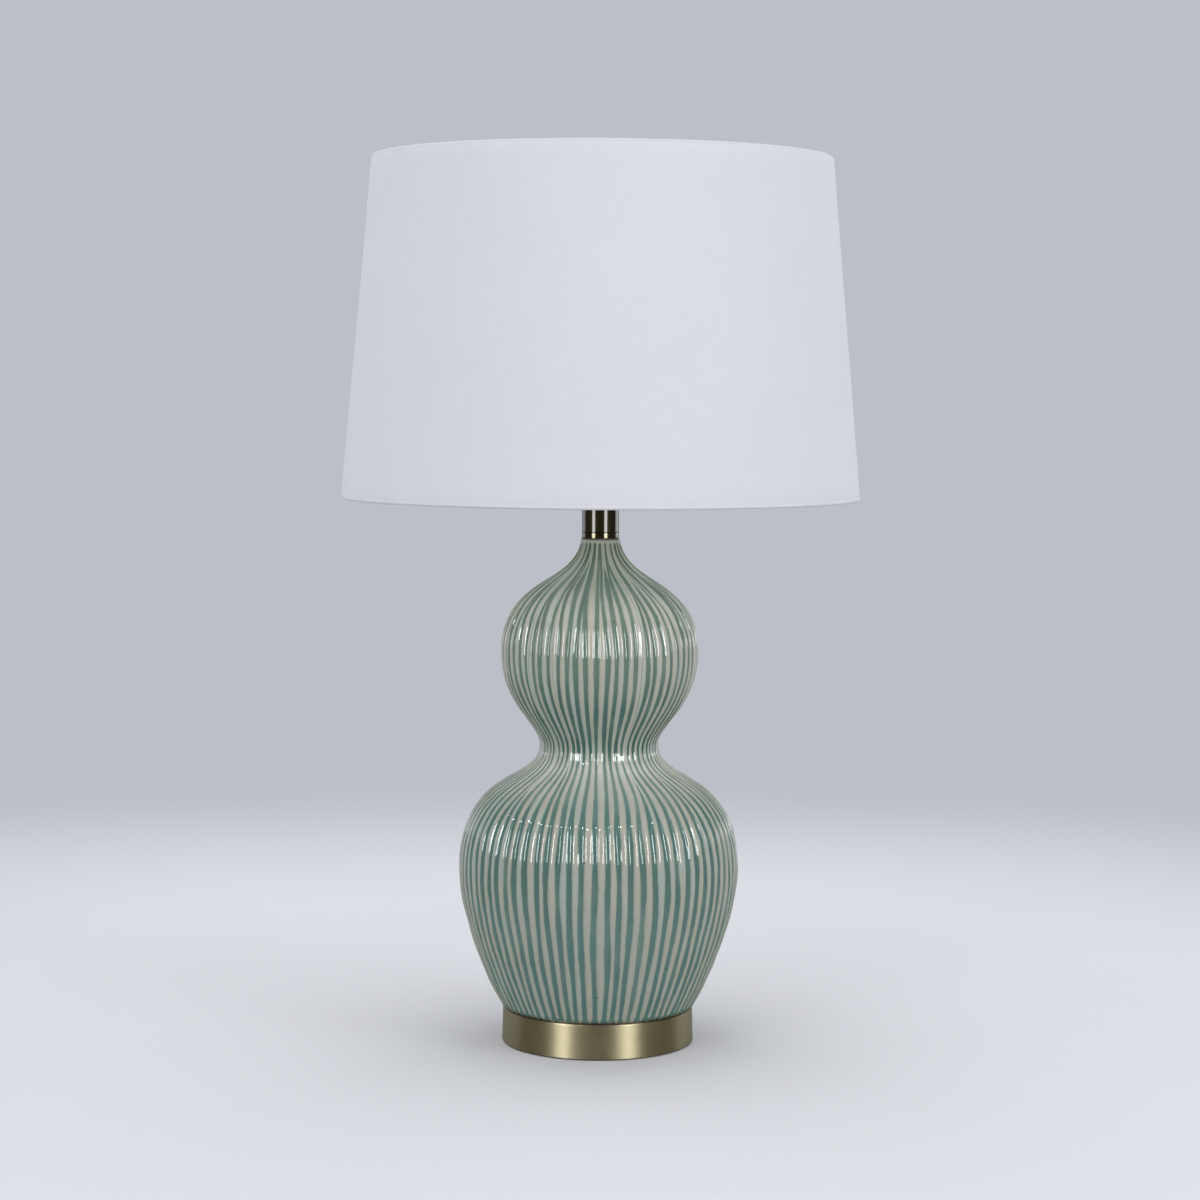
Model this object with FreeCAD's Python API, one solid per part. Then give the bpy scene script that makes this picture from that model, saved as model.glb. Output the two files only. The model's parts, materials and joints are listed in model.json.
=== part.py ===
import FreeCAD, Part
import math
import os

# Table lamp with a double gourd body. Millimetres, +Z up, the lamp's own axis on Z, the floor at z = 0.
# The side that is seen from the room points to -Y.

# Clearances
thread_gap = 0.05        # a nut or cap on its thread
running_gap = 0.06       # a shaft or pin that turns or slides in its hole
pass_gap = 0.3           # a pipe through a plate, a cap over a tube
free_gap = 0.3           # between soft or curved faces that nearly touch
cut_past = 1.0           # how far a cut runs past the face that it opens

# Base
felt_radius = 74.2
felt_thickness = 2.0
felt_proud = 0.8         # how far the felt stands below the ring's edge
felt_edge = 0.4
board_thickness = 2.0
ring_height = 27.0
ring_top_radius = 75.3
ring_bottom_radius = 76.0
ring_wall = 1.2
ring_top_edge = 1.1      # radius of the drawn edge
ring_bottom_edge = 0.5
weight_radius = 62.0
weight_thickness = 13.0
weight_edge = 1.5
gasket_thickness = 0.8
gasket_inset = 1.4       # from the ceramic's foot edge
gasket_width = 6.0

# Cord gland in the back of the base ring
gland_height = 10.5      # above the ring's edge
gland_bore = 3.3
gland_neck = 5.0
gland_flange = 7.0
gland_flange_thickness = 1.8
gland_inside = 3.0
gland_neck_edge = 0.6
gland_flange_edge = 1.0
gland_mouth_edge = 0.8

# Ceramic body: the outline's four curves meet at these radii, at these heights above the foot
neck_radius = 15.3
upper_bulb_radius = 78.1
waist_radius = 47.0
lower_bulb_radius = 110.8
foot_radius = 75.6
neck_height = 371.1
upper_bulb_height = 281.1
waist_height = 208.6
lower_bulb_height = 110.8
# How far each curve runs on straight from where it starts, before it bends away
neck_run = (4.1, 37.2)
upper_bulb_run_up = 60.9
upper_bulb_run_down = 41.5
waist_run_up = 15.6
waist_run_down = 32.5
lower_bulb_run_up = 79.4
lower_bulb_run_down = 38.3
foot_run = (12.9, 19.9)
ceramic_wall = 6.0
neck_hole_radius = 9.3
foot_land = 9.0

# Lamp pipe and what is clamped on it
pipe_radius = 5.1
pipe_bore = 3.4
pipe_below_nut = 1.0
washer_radius = 19.0
washer_thickness = 1.6
washer_edge = 0.3
lock_washer_radius = 9.0
lock_washer_thickness = 1.2
lock_washer_slit = 0.8
nut_flats = 17.0         # across the flats
nut_chamfer = 0.6
bottom_nut_thickness = 3.6
saddle_nut_thickness = 3.0

# Brass neck
neck_gasket_thickness = 0.8
neck_gasket_inset = 0.7
collar_radius = 14.85
collar_height = 4.4
collar_edge = 0.35
spigot_depth = 5.0
spigot_edge = 0.8
tube_radius = 14.7
tube_wall = 1.0
tube_height = 30.0
register_depth = 0.9     # how far collar and cap reach into the tube
neck_cap_radius = 15.4
neck_cap_thickness = 1.8
neck_cap_lower_edge = 0.5
neck_cap_upper_edge = 0.8

# Harp and its saddle
saddle_thickness = 1.6
saddle_width = 9.0
saddle_eye_radius = 11.0
saddle_past_leg = 1.5    # beyond the tongue
saddle_corner = 3.6
leg_spacing = 54.0       # between the two legs' centrelines
tongue_radius = 2.2
tongue_height = 12.0
tongue_gap = 0.2         # between a saddle tongue and the leg beside it
ferrule_radius = 3.9
ferrule_length = 12.0
ferrule_lip = 0.5
wire_radius = 1.8
leg_straight = 28.0      # above the saddle
leg_bend = 60.0
harp_half_width = 58.0
harp_widest_share = 0.55   # of the way from the straight legs up to the top
harp_shoulder = 25.0
block_length = 17.0
block_width = 9.0
block_height = 9.0
block_edge = 1.0
block_below_wire = 1.2
pivot_radius = 2.2
pivot_depth = 3.0
stud_flange_radius = 6.5
stud_flange_thickness = 1.5
stud_radius = 3.17
stud_above_hub = 9.0
stud_edge = 0.3
stud_tip_edge = 0.6

# Socket, measured from the bottom of its cap
cap_hub_radius = 7.2
cap_hub_height = 5.5
cap_radius = 17.2
cap_height = 18.0
cap_shoulder = 6.0
cap_hub_edge = 0.5
cap_hub_fillet = 1.0
cap_rim_edge = 0.3
socket_metal = 0.8
shell_radius = 16.2
shell_bottom = 13.0
shell_top = 55.0
shell_roll = 0.7         # radius of the rolled rim
sleeve_wall = 0.8
sleeve_lift = 1.0        # of its lower edge above the shell's
sleeve_slot_extra = 0.4  # its slot is wider than the shell's
core_skirt_radius = 9.5
core_bottom = 12.0
core_top = 32.0
core_floor = 1.0
core_edge = 0.8
core_top_edge = 0.4
cup_inner_radius = 13.3  # the screw shell that takes the bulb
cup_wall = 0.5
cup_top = 53.0
contact_length = 13.0
contact_root = 3.25      # the flat part that is fixed to the core
contact_reach = 2.6      # of the level end past the lamp's axis
contact_width = 5.0
contact_thickness = 0.6
contact_rise = 2.2
contact_play = 1.0       # from its ends to the screw shell's floor
terminal_height = 25.5
terminal_recess = 2.4
terminal_play = 0.5
terminal_head_radius = 3.0
terminal_head_thickness = 1.6
terminal_shank_radius = 1.5
terminal_shank_length = 4.0
terminal_slot = 0.8
set_screw_height = 3.0
set_screw_radius = 1.5
set_screw_length = 4.5
set_screw_slot = 0.5
set_screw_slot_depth = 0.8
switch_height = 24.0
switch_shaft_radius = 2.0
switch_shaft_depth = 7.0   # how far the shaft reaches into the core
switch_slot_gap = 1.2
knob_start = 20.5          # from the lamp's axis
knob_length = 15.0
knob_bore_depth = 9.0
knob_radius = 6.0
knob_nose_radius = 4.5
knob_nose_length = 4.5
knob_shoulder = 1.5
knob_rib_radius = 0.9
knob_rib_start = 5.7
knob_ribs = 14
knob_edge = 1.2

# Bulb, measured from the tip of its contact
bulb_tip_radius = 4.4
bulb_tip_height = 1.8
bulb_tip_edge = 1.2
insulator_height = 4.2
insulator_radius = 11.0
insulator_step = 0.6       # round the tip
insulator_edge = 0.4
bulb_cap_radius = 13.0
bulb_cap_top = 25.0
bulb_cap_wall = 0.4
bulb_cap_cone = 2.2
bulb_cap_edge = 0.5
housing_neck_radius = 13.8
housing_top = 62.0
housing_wall = 1.6
globe_radius = 30.0
globe_centre = 78.0
globe_wall = 1.2

# Shade
shade_height = 266.2
shade_top_radius = 179.5
shade_bottom_radius = 203.2
shade_above_foot = 402.5   # the shade's bottom edge, above the foot of the ceramic
cloth_thickness = 0.6
liner_thickness = 0.5
ring_wire_radius = 1.5
wire_gap = 0.2             # between a wire and the cloth rolled round it
glue_line = 0.15           # between cloth, liner and lap strip
liner_gap = 0.1            # from the liner's edges to the rolled cloth
lap_width_deg = 3.0
hub_recess = 12.7          # of the spider's hub, below the top edge
hub_radius = 9.5
hub_thickness = 1.6
hub_edge = 0.3
hub_hole_gap = 0.3         # round the stud
arm_wire_radius = 1.5
arm_bend = 16.0
arm_rise_deg = 42.0
arms = 3
cloth_notch = 0.2          # beside an arm where the rolled cloth is cut open for it

# Finial
finial_foot_radius = 7.0
finial_foot_height = 2.4
finial_waist_height = 2.2
finial_ball_radius = 7.5
finial_neck_wall = 1.1
finial_edge = 0.5
finial_groove = 0.6
insert_radius = 3.9
insert_length = 7.0


# Heights of what stands on what
ring_edge = felt_proud
ring_top = ring_edge + ring_height
foot = ring_top + gasket_thickness
neck_top = foot + neck_height
collar_bottom = neck_top + neck_gasket_thickness
tube_bottom = collar_bottom + collar_height
tube_top = tube_bottom + tube_height
saddle_bottom = tube_top + neck_cap_thickness
saddle_top = saddle_bottom + saddle_thickness
socket = saddle_top + saddle_nut_thickness
bulb = socket + core_top + contact_thickness + contact_rise
weight_bottom = ring_top - ring_wall - weight_thickness
washer_bottom = weight_bottom - washer_thickness
lock_washer_bottom = washer_bottom - lock_washer_thickness
bottom_nut_low = lock_washer_bottom - bottom_nut_thickness
shade_bottom = foot + shade_above_foot
shade_top = shade_bottom + shade_height
hub_bottom = shade_top - hub_recess
block_top = hub_bottom - stud_flange_thickness
wire_top = block_top - block_height + block_below_wire + wire_radius
leg_x = leg_spacing / 2
leg_start = saddle_top + tongue_height + free_gap
sleeve_radius = shell_radius - socket_metal / 2 - free_gap
core_radius = sleeve_radius - sleeve_wall - free_gap


def at(r, z):
    return FreeCAD.Vector(r, 0, z)


def line(a, b):
    return Part.LineSegment(at(*a), at(*b)).toShape()


def arc(a, middle, b):
    return Part.Arc(at(*a), at(*middle), at(*b)).toShape()


def curve(*points):
    bezier = Part.BezierCurve()
    bezier.setPoles([at(*p) for p in points])
    return bezier.toShape()


def outline(corners):
    """Edges of a closed outline through (r, z) corners. A third number is the radius of a rounded corner."""
    n = len(corners)
    starts = []
    ends = []
    arcs = []
    for i, corner in enumerate(corners):
        here = at(*corner[:2])
        radius = corner[2] if len(corner) > 2 else 0
        if not radius:
            starts.append(here)
            ends.append(here)
            continue
        back = (at(*corners[i - 1][:2]) - here).normalize()
        ahead = (at(*corners[(i + 1) % n][:2]) - here).normalize()
        half = back.getAngle(ahead) / 2
        inward = (back + ahead).normalize()
        starts.append(here + back * (radius / math.tan(half)))
        ends.append(here + ahead * (radius / math.tan(half)))
        middle = here + inward * (radius / math.sin(half) - radius)
        arcs.append(Part.Arc(starts[-1], middle, ends[-1]).toShape())
    edges = list(arcs)
    for i in range(n):
        if ends[i].distanceToPoint(starts[(i + 1) % n]) > 1e-6:
            edges.append(Part.LineSegment(ends[i], starts[(i + 1) % n]).toShape())
    return edges


def turned(edges, angle=360):
    wire = Part.Wire(Part.sortEdges(edges)[0])
    return Part.Face(wire).revolve(at(0, 0), at(0, 1), angle)


def turned_part(*corners):
    return turned(outline(corners))


def washer(inner, outer, low, high, edge=0):
    return turned_part((inner, low), (outer, low, edge), (outer, high, edge), (inner, high))


def rod(radius, start, end):
    """Round bar from one point to another."""
    run = end - start
    return Part.makeCylinder(radius, run.Length, start, run)


def block(low, high):
    size = [b - a for a, b in zip(low, high)]
    return Part.makeBox(*size, FreeCAD.Vector(*low))


def hexagon_nut(flats, bore, low, thickness):
    corner = flats / 2 / math.cos(math.pi / 6)
    turns = [math.radians(60 * i) for i in range(7)]
    points = [FreeCAD.Vector(corner * math.cos(a), corner * math.sin(a), low) for a in turns]
    prism = Part.Face(Part.makePolygon(points)).extrude(at(0, thickness))
    crown = washer(bore, corner, low, low + thickness, nut_chamfer)
    return prism.common(crown)


def along_y(shape):
    """Turns a shape that is built about +Z so that its axis points to -Y."""
    shape.rotate(at(0, 0), FreeCAD.Vector(1, 0, 0), 90)
    return shape


def ring_radius(height):
    """Outer radius of the base ring at a height above its edge."""
    return ring_bottom_radius + (ring_top_radius - ring_bottom_radius) * height / ring_height


# Base

def base_ring():
    hole = pipe_radius + pass_gap
    low_in = ring_bottom_radius - ring_wall
    high_in = ring_radius(ring_height - ring_wall) - ring_wall
    cup = turned_part(
        (hole, ring_top - ring_wall),
        (high_in, ring_top - ring_wall),
        (low_in, ring_edge),
        (ring_bottom_radius, ring_edge, ring_bottom_edge),
        (ring_top_radius, ring_top, ring_top_edge),
        (hole, ring_top),
    )
    z = ring_edge + gland_height
    hole_start = FreeCAD.Vector(0, weight_radius, z)
    hole_end = FreeCAD.Vector(0, ring_bottom_radius + gland_flange_thickness, z)
    return cup.cut(rod(gland_neck, hole_start, hole_end))


def base_weight():
    top = ring_top - ring_wall
    return washer(pipe_radius + pass_gap, weight_radius, weight_bottom, top, weight_edge)


def base_board():
    radius = ring_radius(felt_thickness + board_thickness) - ring_wall - free_gap
    return Part.makeCylinder(radius, board_thickness, at(0, felt_thickness))


def felt_pad():
    return washer(0, felt_radius, 0, felt_thickness, felt_edge)


def base_gasket():
    outer = foot_radius - gasket_inset
    return washer(outer - gasket_width, outer, ring_top, foot)


def cord_gland():
    """Bush through the ring's wall. Its flange starts inside the wall and is cut to the ring's outside."""
    wall_in = ring_radius(gland_height) - ring_wall
    flange_in = wall_in + ring_wall / 3
    flange_out = ring_bottom_radius + gland_flange_thickness
    bush = turned_part(
        (gland_bore, wall_in - gland_inside),
        (gland_neck, wall_in - gland_inside, gland_neck_edge),
        (gland_neck, flange_in),
        (gland_flange, flange_in),
        (gland_flange, flange_out, gland_flange_edge),
        (gland_bore, flange_out, gland_mouth_edge),
    )
    bush.rotate(at(0, 0), FreeCAD.Vector(1, 0, 0), -90)
    bush.translate(at(0, ring_edge + gland_height))
    return bush.cut(base_ring())


# Ceramic body

def gourd_curves(heights, radii, neck_end, foot_end, grow):
    """The outline's four curves from neck to foot. grow scales the runs at the bulbs and at the waist."""
    at_bulb, at_waist = grow
    neck_z, upper_z, waist_z, lower_z, foot_z = heights
    upper_r, waist_r, lower_r = radii
    neck = (neck_end, neck_z)
    upper = (upper_r, upper_z)
    waist = (waist_r, waist_z)
    lower = (lower_r, lower_z)
    foot_rim = (foot_end, foot_z)
    below_neck = (neck_end + neck_run[0], neck_z - neck_run[1])
    above_upper = (upper_r, upper_z + upper_bulb_run_up * at_bulb)
    below_upper = (upper_r, upper_z - upper_bulb_run_down * at_bulb)
    above_waist = (waist_r, waist_z + waist_run_up * at_waist)
    below_waist = (waist_r, waist_z - waist_run_down * at_waist)
    above_lower = (lower_r, lower_z + lower_bulb_run_up * at_bulb)
    below_lower = (lower_r, lower_z - lower_bulb_run_down * at_bulb)
    above_foot = (foot_end + foot_run[0], foot_z + foot_run[1])
    return [
        curve(neck, below_neck, above_upper, upper),
        curve(upper, below_upper, above_waist, waist),
        curve(waist, below_waist, above_lower, lower),
        curve(lower, below_lower, above_foot, foot_rim),
    ]


def gourd_body():
    rises = (neck_height, upper_bulb_height, waist_height, lower_bulb_height, 0)
    heights = [foot + rise for rise in rises]
    outer = (upper_bulb_radius, waist_radius, lower_bulb_radius)
    inner = [radius - ceramic_wall for radius in outer]
    foot_inner = foot_radius - foot_land
    tighter = 1 - ceramic_wall / upper_bulb_radius
    wider = 1 + ceramic_wall / waist_radius
    edges = gourd_curves(heights, outer, neck_radius, foot_radius, (1, 1))
    edges += gourd_curves(heights, inner, neck_hole_radius, foot_inner, (tighter, wider))
    edges.append(line((neck_hole_radius, neck_top), (neck_radius, neck_top)))
    edges.append(line((foot_inner, foot), (foot_radius, foot)))
    return turned(edges)


# Lamp pipe and its fasteners

def lamp_pipe():
    return washer(pipe_bore, pipe_radius, bottom_nut_low - pipe_below_nut, socket + cap_hub_height)


def bottom_washer():
    return washer(pipe_radius + pass_gap, washer_radius, washer_bottom, weight_bottom, washer_edge)


def bottom_lock_washer():
    ring = washer(pipe_radius + pass_gap, lock_washer_radius, lock_washer_bottom, washer_bottom)
    half = lock_washer_slit / 2
    slit = block((0, -half, lock_washer_bottom), (lock_washer_radius + cut_past, half, washer_bottom))
    return ring.cut(slit)


def bottom_nut():
    return hexagon_nut(nut_flats, pipe_radius + thread_gap, bottom_nut_low, bottom_nut_thickness)


def saddle_locknut():
    return hexagon_nut(nut_flats, pipe_radius + thread_gap, saddle_top, saddle_nut_thickness)


# Brass neck

def neck_gasket():
    return washer(neck_hole_radius, neck_radius - neck_gasket_inset, neck_top, collar_bottom)


def neck_collar():
    """Vase cap with a spigot down into the ceramic's hole and a step up into the tube."""
    spigot = neck_hole_radius - pass_gap
    step = tube_radius - tube_wall - running_gap
    return turned_part(
        (pipe_radius + pass_gap, collar_bottom - spigot_depth),
        (spigot, collar_bottom - spigot_depth, spigot_edge),
        (spigot, collar_bottom),
        (collar_radius, collar_bottom, collar_edge),
        (collar_radius, tube_bottom, collar_edge),
        (step, tube_bottom),
        (step, tube_bottom + register_depth),
        (pipe_radius + pass_gap, tube_bottom + register_depth),
    )


def neck_tube():
    return washer(tube_radius - tube_wall, tube_radius, tube_bottom, tube_top)


def neck_cap():
    step = tube_radius - tube_wall - running_gap
    return turned_part(
        (pipe_radius + pass_gap, tube_top - register_depth),
        (step, tube_top - register_depth),
        (step, tube_top),
        (neck_cap_radius, tube_top, neck_cap_lower_edge),
        (neck_cap_radius, saddle_bottom, neck_cap_upper_edge),
        (pipe_radius + pass_gap, saddle_bottom),
    )


# Harp

def bent_bar(edges, radius, start, direction):
    """Round bar along a path of lines and arcs."""
    section = Part.Face(Part.Wire([Part.makeCircle(radius, at(*start), at(*direction))]))
    return Part.Wire(edges).makePipe(section)


def half_pin(x, facing, top):
    """Half-round pin on the saddle, with its flat face just off a leg's centreline at x."""
    pin = Part.makeCylinder(tongue_radius, top - saddle_top, at(x, saddle_top))
    near = x + facing * tongue_gap / 2
    far = x + facing * 2 * tongue_radius
    low = (min(near, far), -2 * tongue_radius, saddle_top)
    high = (max(near, far), 2 * tongue_radius, top)
    return pin.common(block(low, high))


def harp_saddle():
    half = saddle_width / 2
    reach = leg_x + tongue_radius + saddle_past_leg
    strap = block((-reach, -half, saddle_bottom), (reach, half, saddle_top))
    upright = [edge for edge in strap.Edges if edge.BoundBox.ZLength > saddle_thickness / 2]
    strap = strap.makeFillet(saddle_corner, upright)
    eye = Part.makeCylinder(saddle_eye_radius, saddle_thickness, at(0, saddle_bottom))
    hole = rod(pipe_radius + pass_gap, at(0, saddle_bottom - cut_past), at(0, saddle_top + cut_past))
    tongues = [half_pin(side * leg_x, -side, saddle_top + tongue_height) for side in (-1, 1)]
    return strap.fuse([eye] + tongues).removeSplitter().cut(hole)


def harp_path():
    """The right half of the wire's centreline: its start, then the outward bend, the side and the shoulder.

    Each of the three is an arc through three points. The side's radius lets it meet the shoulder smoothly.
    """
    leg_end = saddle_top + leg_straight
    widest = leg_end + harp_widest_share * (wire_top - leg_end)
    across = harp_half_width - block_length / 2
    rise = wire_top - harp_shoulder - widest
    side = (across ** 2 + rise ** 2 - harp_shoulder ** 2) / (2 * (across - harp_shoulder))
    turn = math.asin(rise / (side - harp_shoulder))
    both = leg_bend + side
    dx = harp_half_width - leg_x - both
    dz = widest - leg_end
    run = math.sqrt(dx ** 2 + dz ** 2 - both ** 2)
    lean = math.atan2(run, -both) - math.atan2(dz, dx)

    def bow(x, z, radius, first, last):
        angles = [first + (last - first) * share for share in (0, 0.5, 1)]
        return [(x + radius * math.cos(a), z + radius * math.sin(a)) for a in angles]

    bend = bow(leg_x + leg_bend, leg_end, leg_bend, math.pi, math.pi - lean)
    sweep = bow(harp_half_width - side, widest, side, -lean, turn)
    shoulder = bow(block_length / 2, wire_top - harp_shoulder, harp_shoulder, turn, math.pi / 2)
    return (leg_x, leg_start), bend, sweep, shoulder


def harp_wire():
    """One bent wire. Its two ends are half-round pins beside the saddle's tongues."""
    start, bend, sweep, shoulder = harp_path()
    half = [line(start, bend[0]), arc(*bend), line(bend[2], sweep[0]), arc(*sweep), arc(*shoulder)]
    mirrored = [edge.mirror(at(0, 0), FreeCAD.Vector(1, 0, 0)) for edge in half]
    across = line(shoulder[2], (-shoulder[2][0], shoulder[2][1]))
    loop = bent_bar(half + [across] + mirrored[::-1], wire_radius, start, (0, 1))
    return loop.fuse([half_pin(side * leg_x, side, leg_start) for side in (-1, 1)])


def ferrule(side):
    """Sleeve that locks a leg's end to its tongue, and slides up the leg to let it go."""
    inner = tongue_radius + running_gap
    top = saddle_top + ferrule_length
    tube = turned_part(
        (inner, saddle_top),
        (ferrule_radius, saddle_top, ferrule_lip),
        (ferrule_radius, top, ferrule_lip),
        (inner, top),
    )
    tube.translate(at(side * leg_x, 0))
    return tube


def harp_block():
    """Brass block that the wire's top runs through. The stud turns in its top."""
    low = wire_top - wire_radius - block_below_wire
    half_length = block_length / 2
    half_width = block_width / 2
    body = block((-half_length, -half_width, low), (half_length, half_width, block_top))
    body = body.makeFillet(block_edge, body.Edges)
    wire = rod(wire_radius, at(-block_length, wire_top), at(block_length, wire_top))
    pivot_low = block_top - pivot_depth - 2 * running_gap
    pivot = rod(pivot_radius + running_gap, at(0, pivot_low), at(0, block_top + cut_past))
    return body.cut(wire).cut(pivot)


def harp_stud():
    top = hub_bottom + hub_thickness + stud_above_hub
    return turned_part(
        (0, block_top - pivot_depth),
        (pivot_radius, block_top - pivot_depth, stud_edge),
        (pivot_radius, block_top),
        (stud_flange_radius, block_top, stud_edge),
        (stud_flange_radius, hub_bottom, stud_edge),
        (stud_radius, hub_bottom),
        (stud_radius, top, stud_tip_edge),
        (0, top),
    )


# Socket

def socket_cap():
    inside = cap_radius - socket_metal
    hub_top = socket + cap_hub_height
    rim = socket + cap_height
    cap = turned_part(
        (pipe_radius + thread_gap, socket),
        (cap_hub_radius, socket, cap_hub_edge),
        (cap_hub_radius, hub_top, cap_hub_fillet),
        (cap_radius, hub_top, cap_shoulder),
        (cap_radius, rim, cap_rim_edge),
        (inside, rim),
        (inside, hub_top + socket_metal, cap_shoulder - socket_metal),
        (pipe_radius + thread_gap, hub_top + socket_metal),
    )
    z = socket + set_screw_height
    return cap.cut(rod(set_screw_radius + thread_gap, at(0, z), at(cap_radius, z)))


def socket_set_screw():
    z = socket + set_screw_height
    start = pipe_radius + thread_gap
    end = start + set_screw_length
    half = set_screw_slot / 2
    side = set_screw_radius + cut_past
    screw = rod(set_screw_radius, at(start, z), at(end, z))
    slot = block((end - set_screw_slot_depth, -side, z - half), (end + cut_past, side, z + half))
    return screw.cut(slot)


def switch_opening(radius, low):
    """Upright slot, open below, that lets shell and sleeve pass over the switch shaft."""
    z = socket + switch_height
    far = cap_radius + cut_past
    bore = rod(radius, at(0, z), FreeCAD.Vector(0, -far, z))
    return bore.fuse(block((-radius, -far, socket + low - cut_past), (radius, 0, z)))


def socket_shell():
    roll = socket + shell_top - shell_roll
    shell = washer(shell_radius - socket_metal / 2, shell_radius, socket + shell_bottom, roll)
    rim = Part.makeTorus(shell_radius, shell_roll, at(0, roll))
    cut = switch_opening(switch_shaft_radius + switch_slot_gap, shell_bottom)
    return shell.fuse(rim).cut(cut)


def socket_sleeve():
    low = socket + shell_bottom + sleeve_lift
    high = socket + shell_top - 2 * shell_roll - free_gap
    sleeve = washer(sleeve_radius - sleeve_wall, sleeve_radius, low, high)
    slot_radius = switch_shaft_radius + switch_slot_gap + sleeve_slot_extra
    return sleeve.cut(switch_opening(slot_radius, shell_bottom))


def shaft_bore():
    """The core's hole for the switch shaft."""
    z = socket + switch_height
    start = FreeCAD.Vector(0, -(core_radius - switch_shaft_depth - free_gap), z)
    return rod(switch_shaft_radius + running_gap, start, FreeCAD.Vector(0, -cap_radius, z))


def terminal(side, play, reach):
    """A terminal screw along X, or with play the recess that it lies in, out to reach."""
    z = socket + terminal_height
    seat = core_radius - terminal_recess
    head = rod(terminal_head_radius + play, at(side * seat, z), at(side * reach, z))
    shank = rod(terminal_shank_radius, at(side * (seat - terminal_shank_length), z), at(side * seat, z))
    return head.fuse(shank)


def socket_core():
    """Moulded block on the cap's floor: skirt, body, recesses for the terminals and the shaft's bore."""
    floor = socket + cap_hub_height + socket_metal
    low = socket + core_bottom
    body = turned_part(
        (pipe_bore, floor),
        (core_skirt_radius, floor),
        (core_skirt_radius, low),
        (core_radius, low, core_edge),
        (core_radius, socket + core_top, core_top_edge),
        (0, socket + core_top),
        (0, low + core_floor),
        (pipe_bore, low + core_floor),
    )
    for side in (-1, 1):
        body = body.cut(terminal(side, terminal_play, core_radius + cut_past))
    return body.cut(shaft_bore())


def terminal_screws():
    z = socket + terminal_height
    reach = core_radius - terminal_recess + terminal_head_thickness
    screws = []
    for side in (-1, 1):
        inside = side * (reach - terminal_slot)
        outside = side * (reach + cut_past)
        low = (min(inside, outside), -terminal_head_radius, z - terminal_slot / 2)
        high = (max(inside, outside), terminal_head_radius, z + terminal_slot / 2)
        screws.append(terminal(side, 0, reach).cut(block(low, high)))
    return Part.makeCompound(screws)


def socket_thread():
    """The screw shell that takes the bulb, with its floor on the core and a hole for the contact."""
    z = socket + core_top
    outer = cup_inner_radius + cup_wall
    hole = contact_length / 2 + contact_play
    return turned_part(
        (hole, z),
        (outer, z),
        (outer, socket + cup_top),
        (cup_inner_radius, socket + cup_top),
        (cup_inner_radius, z + cup_wall),
        (hole, z + cup_wall),
    )


def socket_contact():
    """Bent brass tongue on the core: a flat root, a slope and a level end under the bulb's tip."""
    low = socket + core_top
    high = low + contact_rise
    t = contact_thickness
    root_start = -contact_length / 2
    slope_start = root_start + contact_root
    slope_end = -t
    mitre = t * math.tan(math.atan2(contact_rise, slope_end - slope_start) / 2)
    under = [(root_start, low), (slope_start, low), (slope_end, high), (contact_reach, high)]
    over = [(contact_reach, high + t), (slope_end - mitre, high + t), (slope_start - mitre, low + t),
            (root_start, low + t)]
    corners = [FreeCAD.Vector(x, -contact_width / 2, z) for x, z in under + over + under[:1]]
    return Part.Face(Part.makePolygon(corners)).extrude(FreeCAD.Vector(0, contact_width, 0))


def switch_shaft():
    z = socket + switch_height
    start = FreeCAD.Vector(0, -(core_radius - switch_shaft_depth), z)
    return rod(switch_shaft_radius, start, FreeCAD.Vector(0, -(knob_start + knob_bore_depth), z))


def switch_knob():
    """Turn knob with ribs round its side, pushed on the shaft."""
    knob = turned_part(
        (0, 0),
        (knob_nose_radius, 0),
        (knob_radius, knob_nose_length, knob_shoulder),
        (knob_radius, knob_length, knob_edge),
        (0, knob_length),
    )
    rib_length = knob_length - knob_edge - knob_rib_start
    ribs = []
    for i in range(knob_ribs):
        angle = 2 * math.pi * i / knob_ribs
        start = FreeCAD.Vector(knob_radius * math.cos(angle), knob_radius * math.sin(angle), knob_rib_start)
        ribs.append(Part.makeCylinder(knob_rib_radius, rib_length, start))
    knob = knob.fuse(ribs)
    knob = along_y(knob)
    knob.translate(FreeCAD.Vector(0, -knob_start, socket + switch_height))
    return knob.cut(switch_shaft())


# Bulb

def bulb_tip():
    top = bulb + bulb_tip_height
    return turned_part((0, bulb), (bulb_tip_radius, bulb, bulb_tip_edge), (bulb_tip_radius, top), (0, top))


def bulb_insulator():
    low = bulb + bulb_tip_height
    top = low + insulator_height
    step = bulb_tip_radius + insulator_step
    return turned_part((0, low), (step, low, insulator_edge), (insulator_radius, top), (0, top))


def bulb_cap():
    low = bulb + bulb_tip_height + insulator_height
    top = bulb + bulb_cap_top
    inner = bulb_cap_radius - bulb_cap_wall
    return turned_part(
        (0, low),
        (insulator_radius, low),
        (bulb_cap_radius, low + bulb_cap_cone, bulb_cap_edge),
        (bulb_cap_radius, top),
        (inner, top),
        (inner, low + bulb_cap_cone + bulb_cap_wall, bulb_cap_edge - bulb_cap_wall),
        (insulator_radius, low + bulb_cap_wall),
        (0, low + bulb_cap_wall),
    )


def globe_seat():
    """Where the globe's sphere meets the housing's rim: radius, height and the sphere's slope there."""
    down = globe_centre - housing_top
    radius = math.sqrt(globe_radius ** 2 - down ** 2)
    return radius, bulb + housing_top, down / radius


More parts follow.
